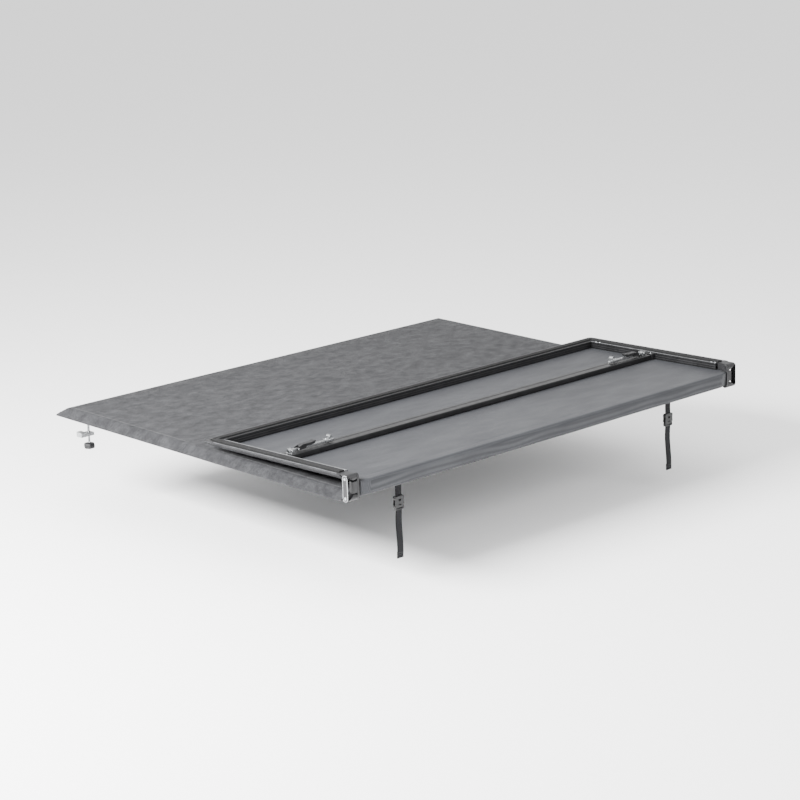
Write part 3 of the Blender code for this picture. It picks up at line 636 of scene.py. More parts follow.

# The front fold lies open: two strips meet halfway along the links.
FRONT_HALFWAY = (FRONT_FAR + MIDDLE_NEAR) / 2
for name, near, far, bodies, pivot in (
    ("front_fold_cloth_near", FRONT_FAR, FRONT_HALFWAY, ("front_panel", "front_links"), PIVOT_1),
    ("front_fold_cloth_far", FRONT_HALFWAY, MIDDLE_NEAR, ("front_links", "middle_panel"), PIVOT_2),
):
    strip = cloth_piece(name, cloth_sheet(near, far), None)
    apply_modifiers(strip)
    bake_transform(strip)
    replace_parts(strip, "front_fold_cloth")


# ---------------------------------------------------------------- rear fold

ROLL = [
    # distance from the link's first pivot, positive towards the cab, and height above the cloth's top
    (0.0120, 0.0000),
    (0.0040, -0.0014),
    (-0.0040, -0.0072),
    (-0.0102, -0.0122),
    (-0.0148, -0.0108),
    (-0.0168, -0.0040),
    (-0.0177, 0.0060),
    (-0.0186, 0.0165),
    (-0.0188, 0.0236),
    (-0.0176, 0.0288),
    (-0.0135, 0.0312),
    (-0.0040, 0.0312),
    (0.0120, 0.0302),
]


def spline(points, steps):
    """A smooth line through points, as a Catmull-Rom curve."""
    line = []
    padded = [points[0], *points, points[-1]]
    for i in range(1, len(padded) - 2):
        p0, p1, p2, p3 = (Vector(p) for p in padded[i - 1:i + 3])
        for k in range(steps):
            t = k / steps
            line.append(
                0.5 * (2 * p1 + (p2 - p0) * t + (2 * p0 - 5 * p1 + 4 * p2 - p3) * t * t
                       + (3 * p1 - p0 - 3 * p2 + p3) * t ** 3)
            )
    line.append(Vector(points[-1]))
    return line


def fold_roll():
    """The loop of cloth that bulges behind the folded hinge, a little uneven along its length."""
    mesh = bmesh.new()
    half = RAIL_INNER - 0.004
    count = round(2 * half / 0.010)
    line = spline(ROLL, 4)
    rows = []
    for i in range(count + 1):
        x = -half + 2 * half * i / count
        to_end = half - abs(x)
        tuck = 1 - 0.35 * (1 - smooth(to_end / 0.030))
        wave = noise.noise(Vector((x * 5.0, 0.3, 0.9))) * 0.0010
        droop = noise.noise(Vector((x * 3.0, 7.7, 0.2))) * 0.0016
        row = []
        for j, (a, b) in enumerate(line):
            free = math.sin(math.pi * j / (len(line) - 1))
            y = PIVOT_3.y + 0.012 + (a - 0.012) * tuck + wave * free
            z = TOP + b + (droop * free if b < 0.004 else 0)
            row.append(mesh.verts.new((x, y, z)))
        rows.append(row)
    weave_rows(mesh, rows)
    return mesh


roll_mesh = fold_roll()
roll = new_piece("rear_fold_cloth_roll", roll_mesh, (LOOKS["cloth"], BACKING), None, None, 60)
thick = roll.modifiers.new("cloth", "SOLIDIFY")
thick.thickness = CLOTH
thick.offset = -1
thick.material_offset = 1
apply_modifiers(roll)
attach(roll, "rear_links")
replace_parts(roll, "rear_fold_cloth")
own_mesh(roll)


def fold_flap(near, far):
    """A sewn strip that covers the edge of the fold's cloth on one panel, over the grain."""
    mesh = bmesh.new()
    half = RAIL_INNER - 0.006
    count = round(2 * half / 0.020)
    ys = [near + (far - near) * i / 6 for i in range(7)]
    rows = []
    for i in range(count + 1):
        x = -half + 2 * half * i / count
        rows.append([mesh.verts.new((x, y, TOP + 0.0011)) for y in ys])
    weave_rows(mesh, rows)
    return mesh


FLAP_LAP = 0.006
for name, body, near, far, matrix in (
    ("middle_fold_flap", "middle_panel", MIDDLE_FAR + FLAP_LAP, PIVOT_3.y - 0.003, None),
    ("rear_fold_flap", "rear_panel", PIVOT_4_FLAT.y + 0.0130, REAR_NEAR - FLAP_LAP, TURNED_OVER),
):
    flap = cloth_piece(name, fold_flap(near, far), body, matrix)
    flap.modifiers["cloth"].thickness = 0.0008

# ---------------------------------------------------------------- shaping tools for hard pieces

PLACE = {
    "x": lambda a, b, along: (along, a, b),
    "y": lambda a, b, along: (a, along, b),
    "z": lambda a, b, along: (a, b, along),
}


def filleted(outline, radius, steps=3):
    """A closed outline with its corners rounded."""
    result = []
    for i, corner in enumerate(outline):
        here = Vector(corner)
        before = Vector(outline[i - 1]) - here
        after = Vector(outline[(i + 1) % len(outline)]) - here
        reach = min(radius, before.length * 0.45, after.length * 0.45)
        first = here + before.normalized() * reach
        last = here + after.normalized() * reach
        for k in range(steps + 1):
            t = k / steps
            result.append((1 - t) ** 2 * first + 2 * t * (1 - t) * here + t * t * last)
    return [tuple(p) for p in result]


def rectangle(left, low, right, high):
    return [(left, low), (right, low), (right, high), (left, high)]


def mirrored(middle, half):
    """A closed outline from the right half's points, each as far right of the middle as it says."""
    right = [(middle + a, b) for a, b in half]
    return right + [(middle - a, b) for a, b in reversed(half)]


def prism(mesh, outline, start, stop, along, holes=()):
    """Adds a solid of one outline, with any holes through it, between two places along an axis."""
    place = PLACE[along]
    edges = []
    for loop in (outline, *holes):
        verts = [mesh.verts.new(place(a, b, start)) for a, b in loop]
        edges += [mesh.edges.new((verts[i - 1], verts[i])) for i in range(len(verts))]
    faces = bmesh.ops.triangle_fill(mesh, edges=edges, use_beauty=True)["geom"]
    faces = [f for f in faces if isinstance(f, bmesh.types.BMFace)]
    grown = bmesh.ops.extrude_face_region(mesh, geom=faces, use_keep_orig=True)["geom"]
    moved = [v for v in grown if isinstance(v, bmesh.types.BMVert)]
    bmesh.ops.translate(mesh, verts=moved, vec=place(0, 0, stop - start))


def ring_of(centre, radius, steps=24, lobes=0, depth=0.0):
    turns = [2 * math.pi * i / steps for i in range(steps)]
    return [
        (
            centre[0] + radius * (1 + depth * math.cos(lobes * a)) * math.cos(a),
            centre[1] + radius * (1 + depth * math.cos(lobes * a)) * math.sin(a),
        )
        for a in turns
    ]


def arc_of(centre, radius, start, stop, steps=10):
    turns = [math.radians(start + (stop - start) * i / steps) for i in range(steps + 1)]
    return [(centre[0] + radius * math.cos(a), centre[1] + radius * math.sin(a)) for a in turns]


def skin(mesh, rings):
    """Joins rings of points into a closed solid, with a face at each end."""
    made = [[mesh.verts.new(p) for p in ring] for ring in rings]
    for first, second in zip(made, made[1:]):
        for i in range(len(first)):
            mesh.faces.new((first[i - 1], first[i], second[i], second[i - 1]))
    mesh.faces.new(made[0])
    mesh.faces.new(made[-1][::-1])


def screw_head(mesh, place, out, radius=0.0030):
    """A domed screw head with a six-sided socket, standing on a face."""
    turn = Vector((0, 0, 1)).rotation_difference(Vector(out)).to_matrix().to_4x4()
    turn = Matrix.Translation(place) @ turn
    rings = []
    for share, height in ((1.0, -0.12), (1.0, 0.16), (0.92, 0.34), (0.72, 0.50), (0.52, 0.56)):
        rings.append([turn @ Vector((a, b, height * radius)) for a, b in ring_of((0, 0), share * radius)])
    for height in (0.54, 0.14):
        ring = []
        for i in range(24):
            a = 2 * math.pi * i / 24
            reach = 0.44 * radius / math.cos((a % (math.pi / 3)) - math.pi / 6)
            ring.append(turn @ Vector((reach * math.cos(a), reach * math.sin(a), height * radius)))
        rings.append(ring)
    skin(mesh, rings)


def hard_piece(name, mesh, look, body, matrix=None, nodes=(), width=0.0004, angle=30):
    """A hard piece with softened edges, standing for any CAD nodes it is given."""
    bmesh.ops.recalc_face_normals(mesh, faces=mesh.faces)
    made = new_piece(name, mesh, LOOKS[look], body, matrix, angle)
    if width:
        rounding = made.modifiers.new("rounding", "BEVEL")
        rounding.width = width
        rounding.segments = 2
        rounding.limit_method = "ANGLE"
        rounding.angle_limit = math.radians(angle)
        rounding.harden_normals = True
    for node in nodes:
        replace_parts(made, node)
    return made


def stitch_row(mesh, line, pitch=0.0060, length=0.0040, radius=0.00042, lift=0.00022):
    """Lockstitches laid along a line of points, each a short tight loop of thread."""
    marks = [0.0]
    for first, second in zip(line, line[1:]):
        marks.append(marks[-1] + (second - first).length)

    def at(distance):
        for i in range(1, len(marks)):
            if distance <= marks[i] or i == len(marks) - 1:
                span = marks[i] - marks[i - 1]
                return line[i - 1].lerp(line[i], (distance - marks[i - 1]) / span if span else 0.0)

    for k in range(int(marks[-1] / pitch)):
        start, stop = at(k * pitch + 0.001), at(k * pitch + 0.001 + length)
        along = (stop - start).normalized()
        side = along.cross(Vector((0, 0, 1))).normalized()
        up = side.cross(along)
        rings = []
        for t, share in ((0.0, 0.35), (0.22, 1.0), (0.78, 1.0), (1.0, 0.35)):
            middle = start.lerp(stop, t) + up * (lift * math.sin(math.pi * t))
            rings.append([middle + (side * a + up * b) * share for a, b in ring_of((0, 0), radius, 6)])
        skin(mesh, rings)


def seam(name, lines, body, matrix=None, **settings):
    mesh = bmesh.new()
    for line in lines:
        stitch_row(mesh, [Vector(p) for p in line], **settings)
    bmesh.ops.recalc_face_normals(mesh, faces=mesh.faces)
    return new_piece(name, mesh, THREAD, body, matrix, 60)


# ---------------------------------------------------------------- rails, seals and bows

RAIL_LOW, RAIL_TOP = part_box("front_rail_left")[0].z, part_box("front_rail_left")[1].z
RAIL_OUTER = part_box("front_rail_right")[1].x
RAIL_SLOPE = (TOP - HEM) / BAND
UNDER_CLOTH = 0.0030                  # from the cloth's outer face down to the rail, measured upright
RAIL_CREASE = HALF_WIDTH - BAND + (TOP - RAIL_TOP - UNDER_CLOTH) / RAIL_SLOPE
RAIL_SHOULDER = TOP - (RAIL_OUTER - HALF_WIDTH + BAND) * RAIL_SLOPE - UNDER_CLOTH
GROOVE = (RAIL_INNER + RAIL_OUTER) / 2
GROOVE_HALF = 0.0100
GROOVE_TOP = RAIL_LOW + 0.0080
LINE = 0.0007                         # depth of the fine lines drawn along the rails
LIP_HIGHLIGHT_WIDTH = 0.0056                   # width of each lip given lighter metal as a painted highlight
FIT = 0.0003


def lip_line(at):
    """A fine line drawn along a lip, met from its outer side."""
    return [
        (at + 1.6 * LINE, RAIL_LOW),
        (at + 0.8 * LINE, RAIL_LOW + LINE),
        (at - 0.8 * LINE, RAIL_LOW + LINE),
        (at - 1.6 * LINE, RAIL_LOW),
    ]


def rail_profile():
    """The rail's cross-section: fine lines on its inner face and on both lips beside the groove."""
    inner_lip = (RAIL_INNER + GROOVE - GROOVE_HALF) / 2
    outer_lip = (RAIL_OUTER + GROOVE + GROOVE_HALF) / 2
    face = RAIL_LOW + 0.0075
    upper = RAIL_LOW + 0.0150
    return filleted([
        (RAIL_INNER, RAIL_LOW),
        (RAIL_INNER, face),
        (RAIL_INNER + LINE, face + LINE),
        (RAIL_INNER + LINE, face + 2 * LINE),
        (RAIL_INNER, face + 3 * LINE),
        (RAIL_INNER, upper),
        (RAIL_INNER + LINE, upper + LINE),
        (RAIL_INNER, upper + 2 * LINE),
        (RAIL_INNER, RAIL_TOP),
        (RAIL_CREASE, RAIL_TOP),
        (RAIL_OUTER, RAIL_SHOULDER),
        (RAIL_OUTER, RAIL_LOW),
        *lip_line(outer_lip),
        (GROOVE + GROOVE_HALF, RAIL_LOW),
        (GROOVE + GROOVE_HALF, GROOVE_TOP),
        (GROOVE - GROOVE_HALF, GROOVE_TOP),
        (GROOVE - GROOVE_HALF, RAIL_LOW),
        *lip_line(inner_lip),
    ], 0.0006, 2)


def rail_hollow():
    wall = 0.0025
    floor, ceiling = GROOVE_TOP + wall, RAIL_TOP - wall
    return filleted([
        (RAIL_INNER + wall, floor),
        (RAIL_CREASE + 2 * wall, floor),
        (RAIL_CREASE - 1.6 * wall, ceiling),
        (RAIL_INNER + wall, ceiling),
    ], 0.0010, 2)


def seal_profile():
    """Bulb seal: a ribbed foot in the groove and a soft double bulb that stands on the bed rail."""
    neck = GROOVE_HALF - FIT
    foot = GROOVE_TOP - FIT
    left_bulb = arc_of((GROOVE - neck / 2, 0.0034), neck / 2, 180, 340, 10)
    right_bulb = arc_of((GROOVE + neck / 2, 0.0034), neck / 2, 200, 360, 10)
    squashed = [(a, max(b, 0.0) if b < 0.0034 else b) for a, b in left_bulb + right_bulb]
    return [
        (GROOVE + neck, foot),
        (GROOVE + neck - 0.0012, foot - 0.0012),
        (GROOVE - neck + 0.0012, foot - 0.0012),
        (GROOVE - neck, foot),
        *squashed,
    ]


def flat_box(node, matrix=None):
    """A node's box in the coordinates it is modelled in, with the cover lying flat."""
    if not matrix:
        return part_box(node)
    back = matrix.inverted()
    points = [back @ v.co for v in frame["nodes"][node].data.vertices]
    low = Vector([min(p[i] for p in points) for i in range(3)])
    high = Vector([max(p[i] for p in points) for i in range(3)])
    return low, high


def side_rail(node, body, side, matrix=None):
    low, high = flat_box(node, matrix)
    mesh = bmesh.new()
    outline = [(side * a, b) for a, b in rail_profile()]
    hollow = [(side * a, b) for a, b in rail_hollow()]
    prism(mesh, outline, low.y, high.y, "y", [hollow])
    for face in mesh.faces:
        middle = face.calc_center_median()
        out = abs(middle.x) - RAIL_INNER
        on_lip = middle.z < RAIL_LOW + 0.25 * LINE and abs(face.normal.y) < 0.5
        if on_lip and (out < LIP_HIGHLIGHT_WIDTH or out > RAIL_OUTER - RAIL_INNER - LIP_HIGHLIGHT_WIDTH):
            # Painted highlight: the lips' edges get the lighter metal.
            face.material_index = 1
    made = hard_piece(f"{node}_extrusion", mesh, "black_rail", body, matrix, [node], 0)
    made.data.materials.append(LIP_HIGHLIGHT_METAL)
    return made


def side_seal(node, body, side):
    low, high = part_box(node)
    mesh = bmesh.new()
    skin(mesh, [[(side * a, y, b) for a, b in seal_profile()] for y in (low.y, high.y)])
    return hard_piece(f"{node}_bulb", mesh, "rubber", body, None, [node], 0, 50)


def u_seal(node, body, facing, matrix=None):
    """A seal that runs along one side of a panel, round its closed end and back along the other side."""
    low, high = flat_box(node, matrix)
    past = HALF_WIDTH - GROOVE - GROOVE_HALF + FIT
    edge = high.y + past if facing > 0 else low.y - past
    stop = low.y if facing > 0 else high.y
    radius = 0.010
    profile = seal_profile()
    rings = []
    for side in (-1, 1):
        turn = [[(side * a, stop, b) for a, b in profile]]
        centre_x = GROOVE - radius
        centre_y = edge - facing * (HALF_WIDTH - GROOVE + radius)
        for k in range(7):
            angle = math.pi / 2 * k / 6
            ring = []
            for a, b in profile:
                reach = radius + a - GROOVE
                ring.append((
                    side * (centre_x + reach * math.cos(angle)),
                    centre_y + facing * reach * math.sin(angle),
                    b,
                ))
            turn.append(ring)
        rings += turn if side < 0 else turn[::-1]
    mesh = bmesh.new()
    skin(mesh, rings)
    return hard_piece(f"{node}_bulb", mesh, "rubber", body, matrix, [node], 0, 50)


def bow_piece(node, body, matrix=None):
    """A bow: a flat tube with rounded edges and a shallow channel along the face away from the cloth."""
    low, high = flat_box(node, matrix)
    middle, half = (low.y + high.y) / 2, (high.y - low.y) / 2
    channel, dip = 0.0080, 0.0008
    outline = filleted(mirrored(middle, [
        (channel, low.z + dip), (channel + dip, low.z), (half, low.z), (half, high.z),
    ]), 0.0022, 4)
    wall = 0.0026
    inner = half - wall
    hollow = filleted(rectangle(middle - inner, low.z + wall, middle + inner, high.z - wall), 0.0012, 2)
    mesh = bmesh.new()
    prism(mesh, outline, low.x, high.x, "x", [hollow])
    return hard_piece(f"{node}_tube", mesh, "black_rail", body, matrix, [node], 0)


def bow_saddles(node, body, matrix=None):
    """Moulded saddles that hold a bow's ends against the side rails, each with two screws."""
    low, high = flat_box(node, matrix)
    length, wall = 0.014, 0.0024
    middle, half, top = (low.y + high.y) / 2, (high.y - low.y) / 2, high.z - 0.0015
    outline = mirrored(middle, [
        (half + wall, low.z - wall), (half + wall, top), (half + FIT, top), (half + FIT, low.z - FIT),
    ])
    shell, screws = bmesh.new(), bmesh.new()
    for side in (-1, 1):
        prism(shell, outline, side * (high.x - length), side * high.x, "x")
        for y in (low.y + 0.009, high.y - 0.009):
            screw_head(screws, (side * (high.x - length / 2), y, low.z - wall), (0, 0, -1), 0.0026)
    hard_piece(f"{node}_saddles", shell, "moulding", body, matrix, (), 0.0007)
    hard_piece(f"{node}_saddle_screws", screws, "zinc", body, matrix, (), 0)


for word, side in (("left", -1), ("right", 1)):
    side_rail(f"front_rail_{word}", "front_panel", side)
    side_rail(f"middle_rail_{word}", "middle_panel", side)
    side_rail(f"rear_rail_{word}", "rear_panel", side, TURNED_OVER)
    side_seal(f"middle_seal_{word}", "middle_panel", side)
u_seal("front_seal", "front_panel", 1)
u_seal("rear_seal", "rear_panel", -1, TURNED_OVER)

tail_low, tail_high = flat_box("tail_rail", TURNED_OVER)
tail = bmesh.new()
prism(
    tail,
    [(TAIL_EDGE - (a - HALF_WIDTH), b) for a, b in rail_profile()],
    tail_low.x, tail_high.x, "x",
    [[(TAIL_EDGE - (a - HALF_WIDTH), b) for a, b in rail_hollow()]],
)
hard_piece("tail_rail_extrusion", tail, "black_rail", "rear_panel", TURNED_OVER, ["tail_rail"], 0)

for node, body, matrix in (
    ("front_bow", "front_panel", None),
    ("middle_front_bow", "middle_panel", None),
    ("middle_rear_bow", "middle_panel", None),
    ("rear_bow", "rear_panel", TURNED_OVER),
):
    bow_piece(node, body, matrix)
    bow_saddles(node, body, matrix)

LIP = (RAIL_INNER + GROOVE - GROOVE_HALF) / 2
AT_KNUCKLE = (0.030, 0.046)           # of the screws, from a panel's edge at a fold
AT_CORNER = (0.068, 0.085)            # the same, from the edge at a corner block
for body, near, far, matrix in (
    ("front_panel", [-d for d in AT_CORNER], [FRONT_FAR + d for d in reversed(AT_KNUCKLE)], None),
    ("middle_panel", [MIDDLE_NEAR - d for d in AT_KNUCKLE], [MIDDLE_FAR + d for d in AT_KNUCKLE], None),
    ("rear_panel", [REAR_NEAR - d for d in AT_KNUCKLE], [TAIL_EDGE + d for d in AT_CORNER], TURNED_OVER),
):
    heads = bmesh.new()
    for side in (-1, 1):
        for y in near + far:
            screw_head(heads, (side * LIP, y, RAIL_LOW), (0, 0, -1), 0.0027)
    hard_piece(f"{body}_rail_screws", heads, "zinc", body, matrix, (), 0)


# ---------------------------------------------------------------- hinge plates

PLATE_IN = RAIL_OUTER - 0.0006
PLATE_OUT = RAIL_OUTER + 0.0006
PLATE_ROUND = 0.0100
RIM = 0.0016


def hinge_plate(side):
    """Pressed steel plate outside the rear fold's knuckles, with a raised rim and riveted pins."""
    near, far = (PIVOT_3.y, PIVOT_3.z), (PIVOT_4_FLAT.y, PIVOT_3.z)
    rim = arc_of(near, PLATE_ROUND, 90, -90, 14) + arc_of(far, PLATE_ROUND, 270, 90, 14)
    inner = PLATE_ROUND - RIM
    inside = arc_of(near, inner, 90, -90, 14) + arc_of(far, inner, 270, 90, 14)
    plate, edge, rivets = bmesh.new(), bmesh.new(), bmesh.new()
    prism(plate, inside, side * PLATE_IN, side * (PLATE_IN + 0.0007), "x")
    prism(edge, rim, side * PLATE_IN, side * PLATE_OUT, "x", [inside])
    for y, z in (near, far):
        rings = [
            [(side * (PLATE_IN + height), a, b) for a, b in ring_of((y, z), radius)]
            for radius, height in ((0.0046, 0.0004), (0.0046, 0.0014), (0.0040, 0.0021), (0.0024, 0.0026))
        ]
        skin(rivets, rings)
    return plate, edge, rivets


link_turn = (
    Matrix.Translation(PIVOT_3) @ Matrix.Rotation(-FOLD_HALF, 4, "X") @ Matrix.Translation(-PIVOT_3)
)
for word, side in (("left", -1), ("right", 1)):
    plate, edge, rivets = hinge_plate(side)
    hard_piece(f"rear_hinge_plate_{word}", plate, "moulding", "rear_links", link_turn, (), 0)
    hard_piece(f"rear_hinge_rim_{word}", edge, "zinc", "rear_links", link_turn, (), 0.0003)
    hard_piece(f"rear_hinge_rivets_{word}", rivets, "zinc", "rear_links", link_turn, (), 0)


# ---------------------------------------------------------------- stowed clamps

SWING = TURNED_OVER.inverted() @ Vector(JOINTS["clamp_swing_right"]["pos_m"])
ARM_HALF_WIDTH, ARM_HALF_DEPTH = 0.0060, 0.0025
ARM_LENGTH = 0.165
LEVER_PIVOT = 0.023                   # from the swing pin
SLOTS, SLOT_PITCH, FIRST_SLOT = 5, 0.0125, 0.046
SLOT_HALF, SLOT_DEEP = 0.0040, 0.0022
JAW_NEAR, JAW_FAR = 0.128, 0.154      # the jaw's sleeve, from the swing pin
RIBS, RIB_PITCH, FIRST_RIB = 6, 0.0050, 0.0110
RIB = ((0.0012, 0.0010), (0.0005, -0.0008), (-0.0005, -0.0008), (-0.0012, 0.0010))


def clamp_arm(word, side, x0, y0, z0):
    """Slotted flat arm with its barrel, swing pin and the lever's rivet."""
    arm = bmesh.new()
    tip = x0 - ARM_LENGTH
    start = x0 - 0.0055
    round_end = arc_of((side * (tip + ARM_HALF_WIDTH), y0), ARM_HALF_WIDTH, 90, 90 + side * 180, 10)
    outline = [*round_end, (side * start, y0 - ARM_HALF_WIDTH), (side * start, y0 + ARM_HALF_WIDTH)]
    slots = []
    for k in range(SLOTS):
        middle = side * (tip + FIRST_SLOT + SLOT_PITCH * k)
        slot = rectangle(middle - SLOT_HALF, y0 - SLOT_DEEP, middle + SLOT_HALF, y0 + SLOT_DEEP)
        slots.append(filleted(slot, 0.0018, 3))
    prism(arm, outline, z0 - ARM_HALF_DEPTH, z0 + ARM_HALF_DEPTH, "z", slots)
    prism(arm, ring_of((side * x0, z0), 0.0053), y0 - ARM_HALF_WIDTH, y0 + ARM_HALF_WIDTH, "y")
    # The heads start outside the bracket's ears and the lever's cheeks.
    head = ((1.0, 0.9), (0.99, 1.5), (0.90, 1.6), (0.895, 1.0))
    for at, radius, half in ((x0, 0.0025, 0.0121), (x0 - LEVER_PIVOT, 0.0019, 0.0106)):
        both_ends = [(-a, share) for a, share in head] + list(reversed(head))
        skin(arm, [
            [(a, y0 + half * along, b) for a, b in ring_of((side * at, z0), radius * share, 16)]
            for along, share in both_ends
        ])
    hard_piece(f"clamp_arm_{word}_slotted", arm, "zinc", f"clamp_{word}", TURNED_OVER,
               [f"clamp_arm_{word}"])


def clamp_jaw(word, side, x0, y0, z0):
    """Sleeve that slides on the arm, with a curled hook and a screw."""
    jaw = bmesh.new()
    near, far = x0 - JAW_NEAR, x0 - JAW_FAR
    low, high = z0 - ARM_HALF_DEPTH - 0.0030, z0 + ARM_HALF_DEPTH + 0.0022
    across = ARM_HALF_WIDTH + 0.0030
    hook = across - 0.0012
    slot_y, slot_z = ARM_HALF_WIDTH + 0.0004, ARM_HALF_DEPTH + 0.0004
    sleeve = filleted(rectangle(y0 - across, low, y0 + across, high), 0.0022, 4)
    hole = rectangle(y0 - slot_y, z0 - slot_z, y0 + slot_y, z0 + slot_z)
    prism(jaw, sleeve, side * near, side * far, "x", [hole])
    centre = (side * (far + 0.0055), low - 0.0052)
    start, stop = (175, 380) if side > 0 else (5, -200)
    curl = arc_of(centre, 0.0056, start, stop, 16) + arc_of(centre, 0.0034, stop, start, 16)
    prism(jaw, curl, y0 - hook, y0 + hook, "y")
    neck = [
        (side * far, low + 0.0008),
        (side * (far + 0.0026), low + 0.0008),
        (side * (far + 0.0024), low - 0.0054),
        (side * (far + 0.0001), low - 0.0054),
    ]
    prism(jaw, neck, y0 - hook, y0 + hook, "y")
    screw_head(jaw, (side * (near - 0.0075), y0, low), (0, 0, -1), 0.0032)
    hard_piece(f"clamp_jaw_{word}_curled", jaw, "zinc", f"clamp_jaw_{word}", TURNED_OVER,
               [f"clamp_jaw_{word}"])


def clamp_lever(word, side, x0, y0, z0):
    """Cam lever: a ribbed grip between two cheeks that hold the rivet."""
    lever = bmesh.new()
    pivot = x0 - LEVER_PIVOT
    web_low, web_top = z0 - 0.0110, z0 - ARM_HALF_DEPTH - 0.0008
    half = ARM_HALF_WIDTH + 0.0031
    start, tip = pivot - 0.0090, pivot - 0.066
    grip = [
        (start, web_top),
        (start, web_low + 0.0024),
        (start - 0.0050, web_low + 0.0003),
        (start - 0.0240, web_low + 0.0002),
        (start - 0.0420, web_low),
        (tip + 0.0040, web_low - 0.0022),
        (tip, web_low - 0.0028),
        (tip + 0.0002, web_low + 0.0004),
        (tip + 0.0060, web_top - 0.0014),
        (tip + 0.0160, web_top),
    ]
    prism(lever, [(side * a, b) for a, b in filleted(grip, 0.0016, 3)], y0 - half, y0 + half, "y")
    for k in range(RIBS):
        rib = start - FIRST_RIB - RIB_PITCH * k
        ridge = [(side * (rib + reach), web_low + height) for reach, height in RIB]
        prism(lever, ridge, y0 - half + 0.0018, y0 + half - 0.0018, "y")
    cheek = [
        (pivot + 0.0044, z0 - 0.0044),
        (pivot + 0.0044, z0 + 0.0038),
        (pivot - 0.0100, z0 + 0.0036),
        (pivot - 0.0295, z0 + 0.0010),
        (pivot - 0.0295, web_low + 0.0024),
        (start, web_low + 0.0024),
    ]
    outline = [(side * a, b) for a, b in filleted(cheek, 0.0022, 4)]
    hole = ring_of((side * pivot, z0), 0.0022, 16)
    for face in (-1, 1):
        inner_face = y0 + face * (ARM_HALF_WIDTH + 0.0004)
        prism(lever, outline, inner_face, y0 + face * half, "y", [hole])
    hard_piece(f"clamp_lever_{word}_ribbed", lever, "moulding", f"clamp_lever_{word}", TURNED_OVER,
               [f"clamp_lever_{word}"])


for word, side in (("left", -1), ("right", 1)):
    for make in (clamp_arm, clamp_jaw, clamp_lever):
        make(word, side, *SWING)


# ---------------------------------------------------------------- screw clamps under the cab end

THREAD_PITCH = 0.0030
THREAD_CORE, THREAD_DEPTH = 0.0033, 0.0007
THREAD_STEPS = 24                     # round one turn
SHANK = 0.0040
KNOB_RADIUS, KNOB_HEIGHT, KNOB_LOBES, LOBE_DEPTH = 0.0180, 0.0190, 6, 0.055
HEAD_HEIGHT = 0.0052


def threaded_screw(word):
    """Hand screw: round head, rolled thread along its shank, and a lobed knob."""
    node = f"cab_screw_{word}"
    low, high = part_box(node)
    x, y = (low.x + high.x) / 2, (low.y + high.y) / 2
    head_low, knob_top = high.z - HEAD_HEIGHT, low.z + KNOB_HEIGHT

    def level(radius, height, *lobes):
        return [(a, b, height) for a, b in ring_of((x, y), radius, *lobes)]

    head = ((0.0050, 0.0), (0.0062, 0.0006), (0.0070, 0.0018), (0.0070, HEAD_HEIGHT), (SHANK, HEAD_HEIGHT))
    rings = [level(radius, high.z - down) for radius, down in head]
    rows = round((head_low - knob_top) / THREAD_PITCH * 6)
    for i in range(1, rows):
        height = head_low + (knob_top - head_low) * i / rows
        ring = []
        for k in range(THREAD_STEPS):
            a = 2 * math.pi * k / THREAD_STEPS
            turn = ((head_low - height) / THREAD_PITCH + k / THREAD_STEPS) % 1.0
            radius = THREAD_CORE + THREAD_DEPTH * (1 - abs(2 * turn - 1))
            ring.append((x + radius * math.cos(a), y + radius * math.sin(a), height))
        rings.append(ring)
    rings.append(level(SHANK, knob_top))
    screw = bmesh.new()
    skin(screw, rings)

    upper = ((0.30, -0.0004), (0.34, 0.0), (0.62, 0.0008), (0.86, 0.0024), (0.95, 0.0060))
    lower = ((0.96, 0.0060), (0.90, 0.0024), (0.74, 0.0005), (0.40, 0.0), (0.30, 0.0012))
    profile = [(share, knob_top - down) for share, down in upper]
    profile += [(share, low.z + up) for share, up in lower]
    knob = bmesh.new()
    skin(knob, [
        level(KNOB_RADIUS * share, height, 72, KNOB_LOBES, LOBE_DEPTH if share > 0.5 else 0.0)
        for share, height in profile
    ])
    hard_piece(f"{node}_threaded", screw, "zinc", node, None, [node], 0, 40)
    hard_piece(f"{node}_knob", knob, "moulding", node, None, (), 0, 40)


for word in ("left", "right"):
    threaded_screw(word)


# ---------------------------------------------------------------- straps and buckles

def ribbon(mesh, line, width, thick):
    """A strap of webbing along a line of points, with rounded edges."""
    across = Vector((1, 0, 0))
    half, deep = width / 2, thick / 2
    face = [(-half / 3, -deep * 0.9), (half / 3, -deep * 0.9)]
    upper = [(-half, 0), (-half + deep, -deep), *face, (half - deep, -deep)]
    section = upper + [(-a, -b) for a, b in upper]
    rings = []
    for i, here in enumerate(line):
        along = (line[min(i + 1, len(line) - 1)] - line[max(i - 1, 0)]).normalized()
        out = along.cross(across).normalized()
        rings.append([here + across * a + out * b for a, b in section])
    skin(mesh, rings)


def strap_web(word, x, y, width):
    """Upper half of the webbing, with its end sewn round in a tab above."""
    low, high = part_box(f"strap_web_{word}")
    top, bottom, rows = high.z - 0.0090, low.z + 0.0006, 16
    web = bmesh.new()
    ribbon(web, [
        Vector((x, y + 0.0010 * math.sin(math.pi * i / rows), top + (bottom - top) * i / rows))
        for i in range(rows + 1)
    ], width, 0.0017)
    for face in (-1, 1):
        tab = []
        for i in range(9):
            bulge = 0.0011 + 0.0010 * math.sin(math.pi * i / 8)
            tab.append(Vector((x, y + face * bulge, high.z - 0.0002 - 0.0125 * i / 8)))
        ribbon(web, tab, width - 0.0006, 0.0012)
    hard_piece(f"strap_web_{word}_woven", web, "webbing", f"strap_{word}", None,
               [f"strap_web_{word}"], 0, 50)


